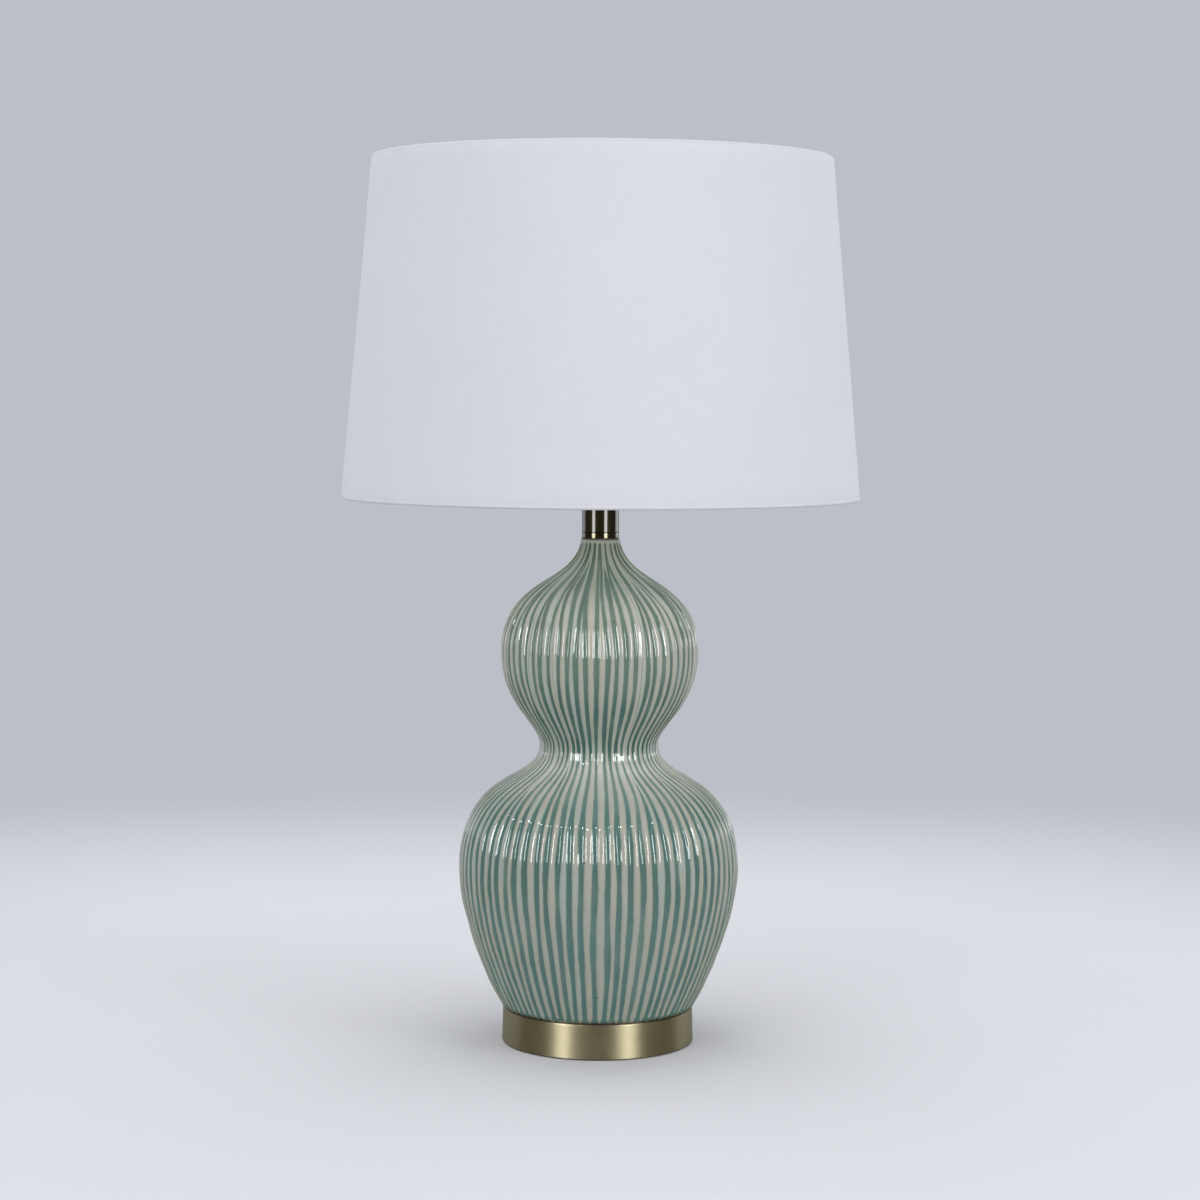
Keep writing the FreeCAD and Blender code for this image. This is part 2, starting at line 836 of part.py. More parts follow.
def bulb_housing():
    """Cone that widens from the screw cap to the globe and meets the sphere without a corner."""
    seat, top, slope = globe_seat()
    low = bulb + bulb_cap_top
    third = (top - low) / 3
    edges = []
    for wall in (0, housing_wall):
        edges.append(curve(
            (housing_neck_radius - wall, low),
            (housing_neck_radius - wall, low + third),
            (seat - wall - slope * third, top - third),
            (seat - wall, top),
        ))
    edges.append(line((housing_neck_radius - housing_wall, low), (housing_neck_radius, low)))
    edges.append(line((seat - housing_wall, top), (seat, top)))
    return turned(edges)


def bulb_globe():
    seat, low, _ = globe_seat()
    centre = bulb + globe_centre
    inner_radius = globe_radius - globe_wall
    inner_seat = math.sqrt(inner_radius ** 2 - (centre - low) ** 2)
    outer = arc((seat, low), (globe_radius, centre), (0, centre + globe_radius))
    inner = arc((inner_seat, low), (inner_radius, centre), (0, centre + inner_radius))
    pole = line((0, centre + inner_radius), (0, centre + globe_radius))
    return turned([outer, inner, pole, line((inner_seat, low), (seat, low))])


# Shade. A place in its wall is given up the slant from the bottom edge, and inward from the cloth's outside.

slant = math.hypot(shade_height, shade_bottom_radius - shade_top_radius)
slant_sine = (shade_bottom_radius - shade_top_radius) / slant
slant_cosine = shade_height / slant
wrap = ring_wire_radius + wire_gap + cloth_thickness   # the cloth's outer radius round a wire


def in_wall(up, inward):
    r = shade_bottom_radius - up * slant_sine - inward * slant_cosine
    z = shade_bottom + up * slant_cosine - inward * slant_sine
    return (r, z)


def wire_place(end):
    """Centre of the top (1) or bottom (-1) wire, along the slant and inward."""
    if end > 0:
        return (slant - wrap * (1 - slant_sine) / slant_cosine, wrap)
    return (wrap * (1 + slant_sine) / slant_cosine, wrap)


def round_wire(end, radius, angle):
    """A point round a wire's centre. Angle 0 is outward, 90 is along the wall, away from its middle."""
    up, inward = wire_place(end)
    a = math.radians(angle)
    return in_wall(up + end * radius * math.sin(a), inward - radius * math.cos(a))


def shade_cloth():
    """One band of cloth, rolled three quarters of a turn round the wire at each edge."""
    edges = []
    rows = {}
    for end in (1, -1):
        for name, radius in (("outer", wrap), ("inner", ring_wire_radius + wire_gap)):
            points = [round_wire(end, radius, angle) for angle in (0, 135, 270)]
            edges.append(arc(*points))
            rows[end, name] = points
        edges.append(line(rows[end, "outer"][2], rows[end, "inner"][2]))
    edges.append(line(rows[1, "outer"][0], rows[-1, "outer"][0]))
    edges.append(line(rows[1, "inner"][0], rows[-1, "inner"][0]))
    return turned(edges).cut(cloth_notches())


def cloth_notches():
    """Blocks that open the cloth rolled round the top wire for each arm, down to the cloth's free edge."""
    ring_r, ring_z = in_wall(*wire_place(1))
    half = arm_wire_radius + cloth_notch
    low = (ring_r - 2 * wrap, -half, ring_z - 2 * wrap)
    high = (ring_r + ring_wire_radius / 2, half, ring_z + 3 * cloth_notch)
    return round_the_arms(block(low, high))


def wall_band(outer, inner, angle=360):
    """A band on the cloth's inside, from wire to wire."""
    bottom = wire_place(-1)[0] + wrap + liner_gap
    top = wire_place(1)[0] - wrap - liner_gap
    corners = [in_wall(bottom, outer), in_wall(top, outer), in_wall(top, inner), in_wall(bottom, inner)]
    edges = [line(a, b) for a, b in zip(corners, corners[1:] + corners[:1])]
    return turned(edges, angle)


def shade_liner():
    start = cloth_thickness + glue_line
    return wall_band(start, start + liner_thickness)


def shade_lap():
    """Strip where the liner's two ends overlap, at the back."""
    start = cloth_thickness + liner_thickness + 2 * glue_line
    strip = wall_band(start, start + liner_thickness, lap_width_deg)
    strip.rotate(at(0, 0), at(0, 1), 90 - lap_width_deg / 2)
    return strip


def shade_ring(end):
    r, z = in_wall(*wire_place(end))
    return Part.makeTorus(r, ring_wire_radius, at(0, z))


def spider_hub():
    return washer(stud_radius + hub_hole_gap, hub_radius, hub_bottom, hub_bottom + hub_thickness, hub_edge)


def round_the_arms(shape):
    """Copies of a shape that is made on +X, one at each arm."""
    copies = []
    for i in range(arms):
        copy = shape.copy()
        copy.rotate(at(0, 0), at(0, 1), 90 + 360 * i / arms)
        copies.append(copy)
    return Part.makeCompound(copies)


def spider_arms():
    """Wires from the hub that run level and bend up to the top ring."""
    ring_r, ring_z = in_wall(*wire_place(1))
    z = hub_bottom + hub_thickness / 2
    rise = math.radians(arm_rise_deg)
    bend_x = arm_bend * math.sin(rise)
    bend_z = arm_bend * (1 - math.cos(rise))
    run = (ring_z - z - bend_z) / math.tan(rise)
    flat_end = ring_r - run - bend_x
    start = (hub_radius - arm_wire_radius, z)
    corner = (flat_end, z)
    middle = (flat_end + arm_bend * math.sin(rise / 2), z + arm_bend * (1 - math.cos(rise / 2)))
    bend_end = (flat_end + bend_x, z + bend_z)
    edges = [line(start, corner), arc(corner, middle, bend_end), line(bend_end, (ring_r, ring_z))]
    arm = bent_bar(edges, arm_wire_radius, start, (1, 0))
    inside_hub = rod(hub_radius, at(0, z - 2 * arm_wire_radius), at(0, z + 2 * arm_wire_radius))
    return round_the_arms(arm.cut(shade_ring(1)).cut(inside_hub))


# Finial

def finial_levels():
    low = hub_bottom + hub_thickness
    waist = low + finial_foot_height
    neck = waist + finial_waist_height
    return low, waist, neck


def finial_insert():
    low = finial_levels()[0]
    return washer(stud_radius + thread_gap, insert_radius, low, low + insert_length)


def finial_base():
    """Turned foot of the finial, round the threaded insert."""
    low, waist, neck = finial_levels()
    bore = insert_radius + running_gap
    outside = insert_radius + finial_neck_wall
    return turned_part(
        (bore, low),
        (finial_foot_radius, low, finial_edge),
        (finial_foot_radius, waist - finial_groove / 2, finial_edge),
        (outside, waist + finial_groove, finial_groove),
        (outside, neck),
        (bore, neck),
    )


def finial_ball():
    """Ball with a flat underside on the base, bored for the insert and the stud."""
    low, _, neck = finial_levels()
    flat = insert_radius + finial_neck_wall
    centre = neck + math.sqrt(finial_ball_radius ** 2 - flat ** 2)
    ball = Part.makeSphere(finial_ball_radius, at(0, centre))
    below = Part.makeCylinder(finial_ball_radius, finial_ball_radius, at(0, neck - finial_ball_radius))
    insert_hole = Part.makeCylinder(insert_radius + running_gap, insert_length + running_gap, at(0, low))
    stud_hole = Part.makeCylinder(stud_radius + thread_gap, stud_above_hub + cut_past, at(0, low))
    return ball.cut(below).cut(insert_hole).cut(stud_hole)


def all_parts():
    return {
        "base_ring": base_ring(),
        "base_weight": base_weight(),
        "base_board": base_board(),
        "felt_pad": felt_pad(),
        "base_gasket": base_gasket(),
        "cord_gland": cord_gland(),
        "gourd_body": gourd_body(),
        "lamp_pipe": lamp_pipe(),
        "bottom_washer": bottom_washer(),
        "bottom_lock_washer": bottom_lock_washer(),
        "bottom_nut": bottom_nut(),
        "neck_gasket": neck_gasket(),
        "neck_collar": neck_collar(),
        "neck_tube": neck_tube(),
        "neck_cap": neck_cap(),
        "harp_saddle": harp_saddle(),
        "saddle_locknut": saddle_locknut(),
        "harp_wire": harp_wire(),
        "harp_ferrule_left": ferrule(-1),
        "harp_ferrule_right": ferrule(1),
        "harp_block": harp_block(),
        "harp_stud": harp_stud(),
        "socket_cap": socket_cap(),
        "socket_set_screw": socket_set_screw(),
        "socket_shell": socket_shell(),
        "socket_sleeve": socket_sleeve(),
        "socket_core": socket_core(),
        "terminal_screws": terminal_screws(),
        "socket_thread": socket_thread(),
        "socket_contact": socket_contact(),
        "switch_shaft": switch_shaft(),
        "switch_knob": switch_knob(),
        "bulb_tip": bulb_tip(),
        "bulb_insulator": bulb_insulator(),
        "bulb_cap": bulb_cap(),
        "bulb_housing": bulb_housing(),
        "bulb_globe": bulb_globe(),
        "shade_cloth": shade_cloth(),
        "shade_liner": shade_liner(),
        "shade_lap": shade_lap(),
        "shade_top_ring": shade_ring(1),
        "shade_bottom_ring": shade_ring(-1),
        "spider_hub": spider_hub(),
        "spider_arms": spider_arms(),
        "finial_insert": finial_insert(),
        "finial_base": finial_base(),
        "finial_ball": finial_ball(),
    }


os.makedirs("parts", exist_ok=True)
for name, shape in all_parts().items():
    shape.exportStep(f"parts/{name}.step")
    print(name, len(shape.Solids), round(shape.Volume, 1), shape.isValid())
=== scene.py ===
import json
import math

import bmesh
import bpy
import numpy as np
from mathutils import Matrix, Vector


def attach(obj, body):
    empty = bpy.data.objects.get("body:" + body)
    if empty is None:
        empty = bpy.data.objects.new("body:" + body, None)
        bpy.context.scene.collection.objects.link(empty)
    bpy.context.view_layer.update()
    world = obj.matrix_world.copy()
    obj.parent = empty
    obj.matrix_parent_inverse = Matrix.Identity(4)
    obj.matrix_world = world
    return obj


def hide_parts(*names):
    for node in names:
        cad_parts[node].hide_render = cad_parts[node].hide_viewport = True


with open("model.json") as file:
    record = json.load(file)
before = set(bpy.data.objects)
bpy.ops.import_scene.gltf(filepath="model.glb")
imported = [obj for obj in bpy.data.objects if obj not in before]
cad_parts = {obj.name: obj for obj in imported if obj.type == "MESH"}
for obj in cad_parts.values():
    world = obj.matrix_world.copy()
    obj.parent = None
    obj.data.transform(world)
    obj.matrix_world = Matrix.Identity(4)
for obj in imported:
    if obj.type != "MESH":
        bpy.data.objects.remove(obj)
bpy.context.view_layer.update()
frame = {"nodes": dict(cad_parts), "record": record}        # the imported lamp: bodies, nodes, joints and record
print("frame loaded:", len(frame["nodes"]), "nodes")


# A socket that can be reckoned with: every operator adds one Math node to the finish it belongs to.
class Wire:
    def __init__(self, finish, socket):
        self.finish = finish
        self.socket = socket

    def reckon(self, operation, *values):
        return self.finish.node("ShaderNodeMath", {"operation": operation}, dict(enumerate(values)))

    def __add__(self, other):
        return self.reckon("ADD", self, other)

    def __radd__(self, other):
        return self.reckon("ADD", other, self)

    def __sub__(self, other):
        return self.reckon("SUBTRACT", self, other)

    def __rsub__(self, other):
        return self.reckon("SUBTRACT", other, self)

    def __mul__(self, other):
        return self.reckon("MULTIPLY", self, other)

    def __rmul__(self, other):
        return self.reckon("MULTIPLY", other, self)

    # The larger of the two.
    def most(self, other):
        return self.reckon("MAXIMUM", self, other)

    def sine(self):
        return self.reckon("SINE", self)

    # Without its sign.
    def size(self):
        return self.reckon("ABSOLUTE", self)


# The nodes of one material or of the world.
class Finish:
    def __init__(self, owner):
        owner.use_nodes = True
        self.owner = owner
        self.tree = owner.node_tree
        self.tree.nodes.clear()

    # Any node: its settings first, then the values or wires of its sockets, by name or number.
    def node(self, kind, settings=None, inputs=None, out=0):
        made = self.tree.nodes.new(kind)
        for name, value in (settings or {}).items():
            if name == "stops":
                self.setStops(made.color_ramp, value)
            else:
                setattr(made, name, value)
        for key, value in (inputs or {}).items():
            socket = made.inputs[key]
            if isinstance(value, Wire):
                self.tree.links.new(value.socket, socket)
            elif socket.type == "RGBA":
                socket.default_value = (*value[:3], 1)
            else:
                socket.default_value = value
        return Wire(self, made.outputs[out]) if made.outputs else None

    def setStops(self, ramp, stops):
        while len(ramp.elements) < len(stops):
            ramp.elements.new(1)
        for element, (place, colour) in zip(ramp.elements, stops):
            element.position = place
            element.color = (*colour[:3], 1)

    # The piece's own coordinates, stretched.
    def place(self, stretch=(1, 1, 1)):
        there = self.node("ShaderNodeTexCoord", out="Object")
        return self.scaled(there, stretch)

    def scaled(self, vector, stretch):
        return self.node("ShaderNodeVectorMath", {"operation": "MULTIPLY"}, {0: vector, 1: stretch})

    def height(self):
        return self.node("ShaderNodeSeparateXYZ", inputs={0: self.place()}, out="Z")

    # A number that the mesh carries for each point.
    def value(self, attribute):
        return self.node("ShaderNodeAttribute", {"attribute_name": attribute}, out="Fac")

    def noise(self, vector, scale, detail, roughness=0.5):
        inputs = {"Vector": vector, "Scale": scale, "Detail": detail, "Roughness": roughness}
        return self.node("ShaderNodeTexNoise", None, inputs)

    # Noise on the piece's own coordinates, stretched.
    def grain(self, stretch, scale, detail, roughness):
        return self.noise(self.place(stretch), scale, detail, roughness)

    # Round cells: how far it is to the middle of the nearest one, or a chance colour for each cell.
    def cells(self, vector, scale, out="Distance"):
        inputs = {"Vector": vector, "Scale": scale}
        return self.node("ShaderNodeTexVoronoi", {"feature": "F1"}, inputs, out=out)

    # 1 in the few cells whose chance number is above a limit.
    def picked(self, vector, scale, limit):
        chance = self.node("ShaderNodeSeparateColor", None, {0: self.cells(vector, scale, "Color")})
        return self.step(chance, *limit)

    # 0 where the value is at low, 1 at high, smooth between; low may be the larger one.
    def step(self, value, low, high):
        return self.node("ShaderNodeMapRange", {"interpolation_type": "SMOOTHSTEP"},
                         {"Value": value, "From Min": low, "From Max": high})

    # From 0 to 1 onto low to high.
    def between(self, value, low, high):
        inputs = {"Value": value, "To Min": low, "To Max": high}
        return self.node("ShaderNodeMapRange", None, inputs)

    def ramp(self, value, stops):
        return self.node("ShaderNodeValToRGB", {"stops": stops}, {"Fac": value})

    # The first colour where share is 0, the second where it is 1.
    def tint(self, share, first, second, mode="MIX"):
        return self.node("ShaderNodeMix", {"data_type": "RGBA", "blend_type": mode},
                         {0: share, 6: first, 7: second}, out=2)

    def bump(self, height, distance, strength=1.0):
        inputs = {"Height": height, "Distance": distance, "Strength": strength}
        return self.node("ShaderNodeBump", None, inputs)

    # The shader itself, which closes the finish.
    def dress(self, sockets):
        shader = self.node("ShaderNodeBsdfPrincipled", None, sockets)
        self.node("ShaderNodeOutputMaterial", None, {"Surface": shader})
        return self.owner


def newFinish(name):
    return Finish(bpy.data.materials.new(name))


# Four corners for each face of a grid: a point, the one above it, and the same two a column on.
# Rows or columns that go round come back to the first one.
def gridFaces(rows, columns, rowsGoRound, columnsGoRound):
    row = np.arange(rows if rowsGoRound else rows - 1)[:, None]
    column = np.arange(columns if columnsGoRound else columns - 1)[None, :]
    nextRow, nextColumn = (row + 1) % rows, (column + 1) % columns
    corners = [(row, column), (nextRow, column), (nextRow, nextColumn), (row, nextColumn)]
    size = (row.shape[0], column.shape[1])
    faces = [np.broadcast_to(r * columns + c, size) for r, c in corners]
    return np.stack(faces, axis=-1).reshape(-1, 4)


# A surface on a grid of points (rows, columns, 3). If wrapped it is closed round its columns, and
# if looped round its rows.
def skin(name, points, looped=True, wrapped=True):
    faces = gridFaces(*points.shape[:2], looped, wrapped)
    mesh = bpy.data.meshes.new(name)
    mesh.from_pydata(points.reshape(-1, 3).tolist(), [], faces.tolist())
    mesh.shade_smooth()
    thing = bpy.data.objects.new(name, mesh)
    bpy.context.scene.collection.objects.link(thing)
    return thing


# Rings of radius r and height z, given per row or per point, at the angles in turn.
def ringsAt(r, z, turn):
    return np.stack(np.broadcast_arrays(r * np.cos(turn), r * np.sin(turn), z), axis=-1)


# Numbers for the corners of skin's faces. Their grid is one row and one column larger than the
# points' own.
def setUv(thing, name, u, v):
    rows, columns = u.shape[0] - 1, u.shape[1] - 1
    at = np.stack([u, v], axis=-1)
    corners = [at[:rows, :columns], at[1:, :columns], at[1:, 1:], at[:rows, 1:]]
    layer = thing.data.uv_layers.new(name=name)
    layer.data.foreach_set("uv", np.stack(corners, axis=2).astype(np.float32).ravel())


# One number for each point, in the order of the grid.
def setValue(thing, name, numbers):
    layer = thing.data.attributes.new(name, "FLOAT", "POINT")
    layer.data.foreach_set("value", numbers.astype(np.float32).ravel())


# Rings that have shrunk to a point become one vertex.
def mergePoles(thing):
    work = bmesh.new()
    work.from_mesh(thing.data)
    bmesh.ops.remove_doubles(work, verts=work.verts, dist=1e-7)
    work.to_mesh(thing.data)
    work.free()


# 0 at low, 1 at high, and between them 3 t squared less 2 t cubed; low may be the larger one.
def smooth(x, low, high):
    t = np.clip((x - low) / (high - low), 0, 1)
    return t * t * (3 - 2 * t)


# A finished piece gets its material and its body, and the node that it stands for is hidden.
def onBody(thing, body, material, node):
    thing.data.materials.append(material)
    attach(thing, body)
    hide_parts(node)


# Camera, floor, background and lights

view = {
    "place": (0, -2.229, 0.5231),
    "pitch": math.radians(4.411),   # how far it looks down
    "roll": -0.006,
    "lens": 85,
    "sensor": 36,
}


# It looks along +Y and down by the pitch, rolled about its own axis.
def setCamera():
    camera = bpy.data.objects.new("camera", bpy.data.cameras.new("camera"))
    camera.data.lens = view["lens"]
    camera.data.sensor_width = view["sensor"]
    bpy.context.scene.collection.objects.link(camera)
    forward = Vector((0, math.cos(view["pitch"]), -math.sin(view["pitch"])))
    level = Vector((1, 0, 0))
    up = level.cross(forward)
    c, s = math.cos(view["roll"]), math.sin(view["roll"])
    axes = Matrix((c * level - s * up, s * level + c * up, -forward)).transposed()
    camera.matrix_world = Matrix.Translation(view["place"]) @ axes.to_4x4()
    bpy.context.scene.camera = camera


studio = {
    "backdrop": (0.50, 0.52, 0.57),
    "floor": (0.56, 0.57, 0.61),
    "floorDark": 0.985,                      # the darker places of its slight unevenness
    "floorGrain": ((1, 1, 1), 60, 4, 0.5),   # their stretch, scale, detail and roughness
    "floorBounce": (0.32, 0.32, 0.33),       # what the floor gives back to the lamp
    "floorMirrored": (0.225, 0.217, 0.190),  # what metal and glaze see of it
    "floorRings": (0, 0.4, 1, 2, 4, 7),
    "floorSides": 64,
    "floorFade": (0.55, 1.5),                # where the floor passes into the backdrop
    "ambient": 0.82,                         # strength of the light from all round
    "curtain": (0.190, 0.180, 0.120),
    "curtainDark": 0.8,
    "curtainFolds": ((6, 6, 0.4), 1, 1, 0.5),
    "curtainSides": 48,
}
cloths = {
    # degrees from the camera's side, from and to, then distances and heights of the cloth's section
    "front": (-105, 105, ((0.5, 0.002), (2.6, 0.002), (2.7, 0.1), (2.7, 2.4))),
    "back left": (-165, -105, ((2.7, 0.95), (2.7, 2.4))),
    "back right": (105, 165, ((2.7, 0.95), (2.7, 2.4))),
}
boxes = {
    # degrees from the camera's side, distance, lowest and highest point, width, radiance, and the
    # surfaces that see it
    "soft left": (-34, 1.6, 0.0, 1.3, 0.62, 2.45, "diffuse"),
    "soft right": (52, 1.6, 0.0, 1.3, 0.62, 2.95, "diffuse"),
    "soft back left": (-142, 1.6, 0.0, 1.0, 0.62, 1.9, "diffuse"),
    "soft back right": (146, 1.6, 0.0, 1.0, 0.62, 1.6, "diffuse"),
    "low left": (-42, 1.0, 0.28, 0.44, 0.31, 11.5, "glossy"),
    "low right": (33, 1.0, 0.28, 0.44, 0.31, 12.0, "glossy"),
    "core left": (-44, 1.0, 0.44, 0.86, 0.21, 17.0, "glossy"),
    "core right": (41, 1.0, 0.44, 0.86, 0.23, 17.0, "glossy"),
    "top left": (-44, 1.0, 0.86, 1.12, 0.21, 3.5, "glossy"),
    "top right": (41, 1.0, 0.86, 1.12, 0.23, 3.5, "glossy"),
    "edge left": (-122, 1.5, 0.32, 0.45, 0.8, 1.0, "glossy"),
    "edge right": (122, 1.5, 0.32, 0.45, 0.8, 2.2, "glossy"),
    "pin": (-28, 0.98, 1.28, 1.34, 0.20, 70.0, "glossy"),
}
overhead = {"size": 2.6, "height": 2.4, "radiance": 1.3}


# 1 for rays from the camera and those that metal or glass sends on.
def seenRay(finish):
    rays = [finish.node("ShaderNodeLightPath", out=name)
            for name in ("Is Camera Ray", "Is Glossy Ray", "Is Transmission Ray")]
    return rays[0].most(rays[1]).most(rays[2])


# Even light from all round, in white. Mirrors and the camera see the backdrop's colour instead.
def setWorld():
    world = bpy.data.worlds.new("studio")
    bpy.context.scene.world = world
    finish = Finish(world)
    strength = finish.between(seenRay(finish), studio["ambient"], 1.0)
    colour = finish.tint(seenRay(finish), (1, 1, 1), studio["backdrop"])
    shader = finish.node("ShaderNodeBackground", None, {"Color": colour, "Strength": strength})
    finish.node("ShaderNodeOutputWorld", None, {"Surface": shader})


# Plain paint that fades into the backdrop, and is dimmer for light that it sends back to the lamp.
def floorFinish():
    finish = newFinish("floor")
    spot = {0: finish.place()}
    away = finish.node("ShaderNodeVectorMath", {"operation": "LENGTH"}, spot, out="Value")
    far = finish.step(away, *studio["floorFade"]) * seenRay(finish)
    darker = [c * studio["floorDark"] for c in studio["floor"]]
    seenColour = finish.tint(finish.grain(*studio["floorGrain"]), darker, studio["floor"])
    seen = finish.node("ShaderNodeLightPath", out="Is Camera Ray")
    mirrored = finish.node("ShaderNodeLightPath", out="Is Glossy Ray")
    otherColour = finish.tint(mirrored, studio["floorBounce"], studio["floorMirrored"])
    colour = finish.tint(seen, otherColour, seenColour)
    paint = finish.node("ShaderNodeBsdfDiffuse", None, {"Color": colour})
    glow = {"Color": studio["backdrop"], "Strength": 1.0}
    backdrop = finish.node("ShaderNodeEmission", None, glow)
    mixed = finish.node("ShaderNodeMixShader", None, {0: far, 1: paint, 2: backdrop})
    finish.node("ShaderNodeOutputMaterial", None, {"Surface": mixed})
    return finish.owner


# A disc of rings at z = 0.
def setFloor():
    turn = -np.linspace(0, 2 * np.pi, studio["floorSides"], endpoint=False)
    radius = np.array(studio["floorRings"], dtype=float)[:, None]
    floor = skin("floor", ringsAt(radius, 0.0, turn), looped=False)
    mergePoles(floor)
    floor.data.materials.append(floorFinish())


# Dark cloths that only reflections see: on the floor and up behind the camera, and high up at the
# back. Each is its section carried round the lamp.
def setCloths():
    finish = newFinish("cloths")
    folds = finish.grain(*studio["curtainFolds"])
    darker = [c * studio["curtainDark"] for c in studio["curtain"]]
    colour = finish.tint(folds, darker, studio["curtain"])
    dark = finish.dress({"Base Color": colour, "Roughness": 1.0})
    for name, (first, last, section) in cloths.items():
        turn = np.radians(np.linspace(first, last, studio["curtainSides"] + 1)) - np.pi / 2
        r, z = np.hsplit(np.array(section), 2)
        cloth = skin(name, ringsAt(r, z, turn), looped=False, wrapped=False)
        cloth.data.shade_flat()
        cloth.data.materials.append(dark)
        cloth.visible_camera = False
        cloth.visible_diffuse = False
        cloth.visible_shadow = False
        cloth.visible_transmission = False


# An area lamp's energy is its radiance times pi times its area.
def softbox(name, width, length, radiance):
    lamp = bpy.data.lights.new(name, "AREA")
    lamp.shape = "RECTANGLE"
    lamp.size, lamp.size_y = width, length
    lamp.energy = radiance * math.pi * width * length
    box = bpy.data.objects.new(name, lamp)
    bpy.context.scene.collection.objects.link(box)
    box.visible_camera = False
    return box


# Large soft boxes that light the lamp, smaller ones that only show as highlights, and one overhead.
def setSoftboxes():
    for name, (angle, distance, low, high, width, radiance, seenBy) in boxes.items():
        box = softbox(name, width, high - low, radiance)
        angle = math.radians(angle)
        box.location = (distance * math.sin(angle), -distance * math.cos(angle), (high + low) / 2)
        box.rotation_euler = (math.pi / 2, 0, angle)
        box.visible_diffuse = seenBy == "diffuse"
        box.visible_glossy = seenBy == "glossy"
    top = softbox("overhead", overhead["size"], overhead["size"], overhead["radiance"])
    top.location = (0, 0, overhead["height"])
    top.visible_glossy = False


setCamera()
setWorld()
setFloor()
setCloths()
setSoftboxes()
bpy.context.scene.view_settings.view_transform = "Standard"
print("camera, floor and lights set")


# Ribbed ceramic body

gourd = {
    "neck": (0.0153, 0.3997),        # radius and height where the outline's four curves meet
    "upper": (0.0781, 0.3097),
    "waist": (0.0470, 0.2372),
    "lower": (0.1108, 0.1394),
    "foot": (0.0756, 0.0286),
    "neckRun": (0.0041, -0.0372),    # how far each curve runs on straight
    "upperUp": 0.0609,
    "upperDown": 0.0415,
    "waistUp": 0.0156,
    "waistDown": 0.0325,
    "lowerUp": 0.0794,
    "lowerDown": 0.0383,
    "footRun": (0.0129, 0.0199),
    "rows": (30, 19, 24, 19),        # of the mesh along each curve
    "innerRows": (4, 4, 6, 3),
    "wall": 0.006,
    "footLand": 0.009,
    "footTuck": 0.0005,              # how far the lowest row reaches under the foot
    "lip": ((-0.0009, 0), (-0.0003, -0.0001)),   # rounds the neck's edge, from its corner
    "seed": 11,
}
ribs = {
    "grooves": 72,                   # round the lower bulb
    "group": 6,                      # grooves whose changes stay among themselves
    "groupUneven": 0.02,
    # columns of the mesh from one groove's middle to the next
    "phases": (0, 0.10, 0.17, 0.22, 0.27, 0.35, 0.50, 0.65, 0.73, 0.78, 0.83, 0.90),
    "grooveShare": 0.245,            # half of a groove's width, of a rib and groove together
    "grooveUneven": (0.08, (0.05, 0.09, 0.2)),   # how far the width varies, over which lengths
    "depthShare": 0.18,              # depth of a groove, of a rib and groove together
    "waistDepth": (0.5, 0.02),       # what is left of it at the waist, and how far that reaches
    "neckFade": (0.4000, 0.3935),    # heights between which the grooves end
    "footFade": (0.0286, 0.036),
    "footDepth": 0.45,               # what is left of the depth at the foot
    "ridge": (0.00018, (0.04, 0.1)),     # how far the crests rise and fall, over which lengths
    "leastRoom": 0.10,               # what is left of the room of a rib that has run out
    "uneven": 0.06,                  # how far the ribs differ in width
    # how far a groove strays to the side, of a rib and groove, and over which lengths
    "sway": (0.042, (0.09, 0.16, 0.31)),
    "twists": ((2, 0.006, 0.31), (3, 0.004, 0.23), (7, 0.002, 0.16)),   # waves round, angle, length
    # tone from rib to rib, tone along one, and over which lengths
    "ribTone": (0.22, 0.16, (0.045, 0.08, 0.17)),
    "grooveTone": (0.15, 0.16, (0.03, 0.07, 0.15)),
    # where a groove or rib may end, then how far below and above that its own fading and that of
    # its room begin and end
    "lowEnds": ((0.206, 0.226), (0.012, 0.004), (0.035, 0.012)),
    "highEnds": ((0.362, 0.386), (0.014, 0.003), (0.050, 0.012)),
    "ribEnds": ((0.362, 0.390), (0.020, 0.004), (0.058, 0.008)),
}


# Cubic curve through its first and last point, pulled by the two between.
def bezier(points, count, last=False):
    t = np.linspace(0, 1, count + 1)[:, None]
    t = t if last else t[:-1]
    a, b, c, d = [np.array(p) for p in points]
    return (1 - t) ** 3 * a + 3 * t * (1 - t) ** 2 * b + 3 * t * t * (1 - t) * c + t ** 3 * d


# The ribs' crests from neck to foot: four cubic curves that are level or upright where they meet.
def gourdOutline(rows):
    g = {key: np.array(gourd[key]) for key in ("neck", "upper", "waist", "lower", "foot")}
    up = {key: np.array((0, gourd[key])) for key in gourd if key.endswith(("Up", "Down"))}
    curves = [
        (g["neck"], g["neck"] + gourd["neckRun"], g["upper"] + up["upperUp"], g["upper"]),
        (g["upper"], g["upper"] - up["upperDown"], g["waist"] + up["waistUp"], g["waist"]),
        (g["waist"], g["waist"] - up["waistDown"], g["lower"] + up["lowerUp"], g["lower"]),
        (g["lower"], g["lower"] - up["lowerDown"], g["foot"] + gourd["footRun"], g["foot"]),
    ]
    return np.concatenate([bezier(c, n, i == 3) for i, (c, n) in enumerate(zip(curves, rows))])


# Slow hand-made change along each of count lines: sines of a few wavelengths in random phase, added
# up to about 1 in size.
def drift(rng, along, count, lengths):
    phase = rng.uniform(0, 2 * np.pi, (len(lengths), count))
    angle = 2 * np.pi * along[:, None]
    waves = [np.sin(angle / length + phase[i]) for i, length in enumerate(lengths)]
    return sum(waves) * math.sqrt(2 / len(lengths))


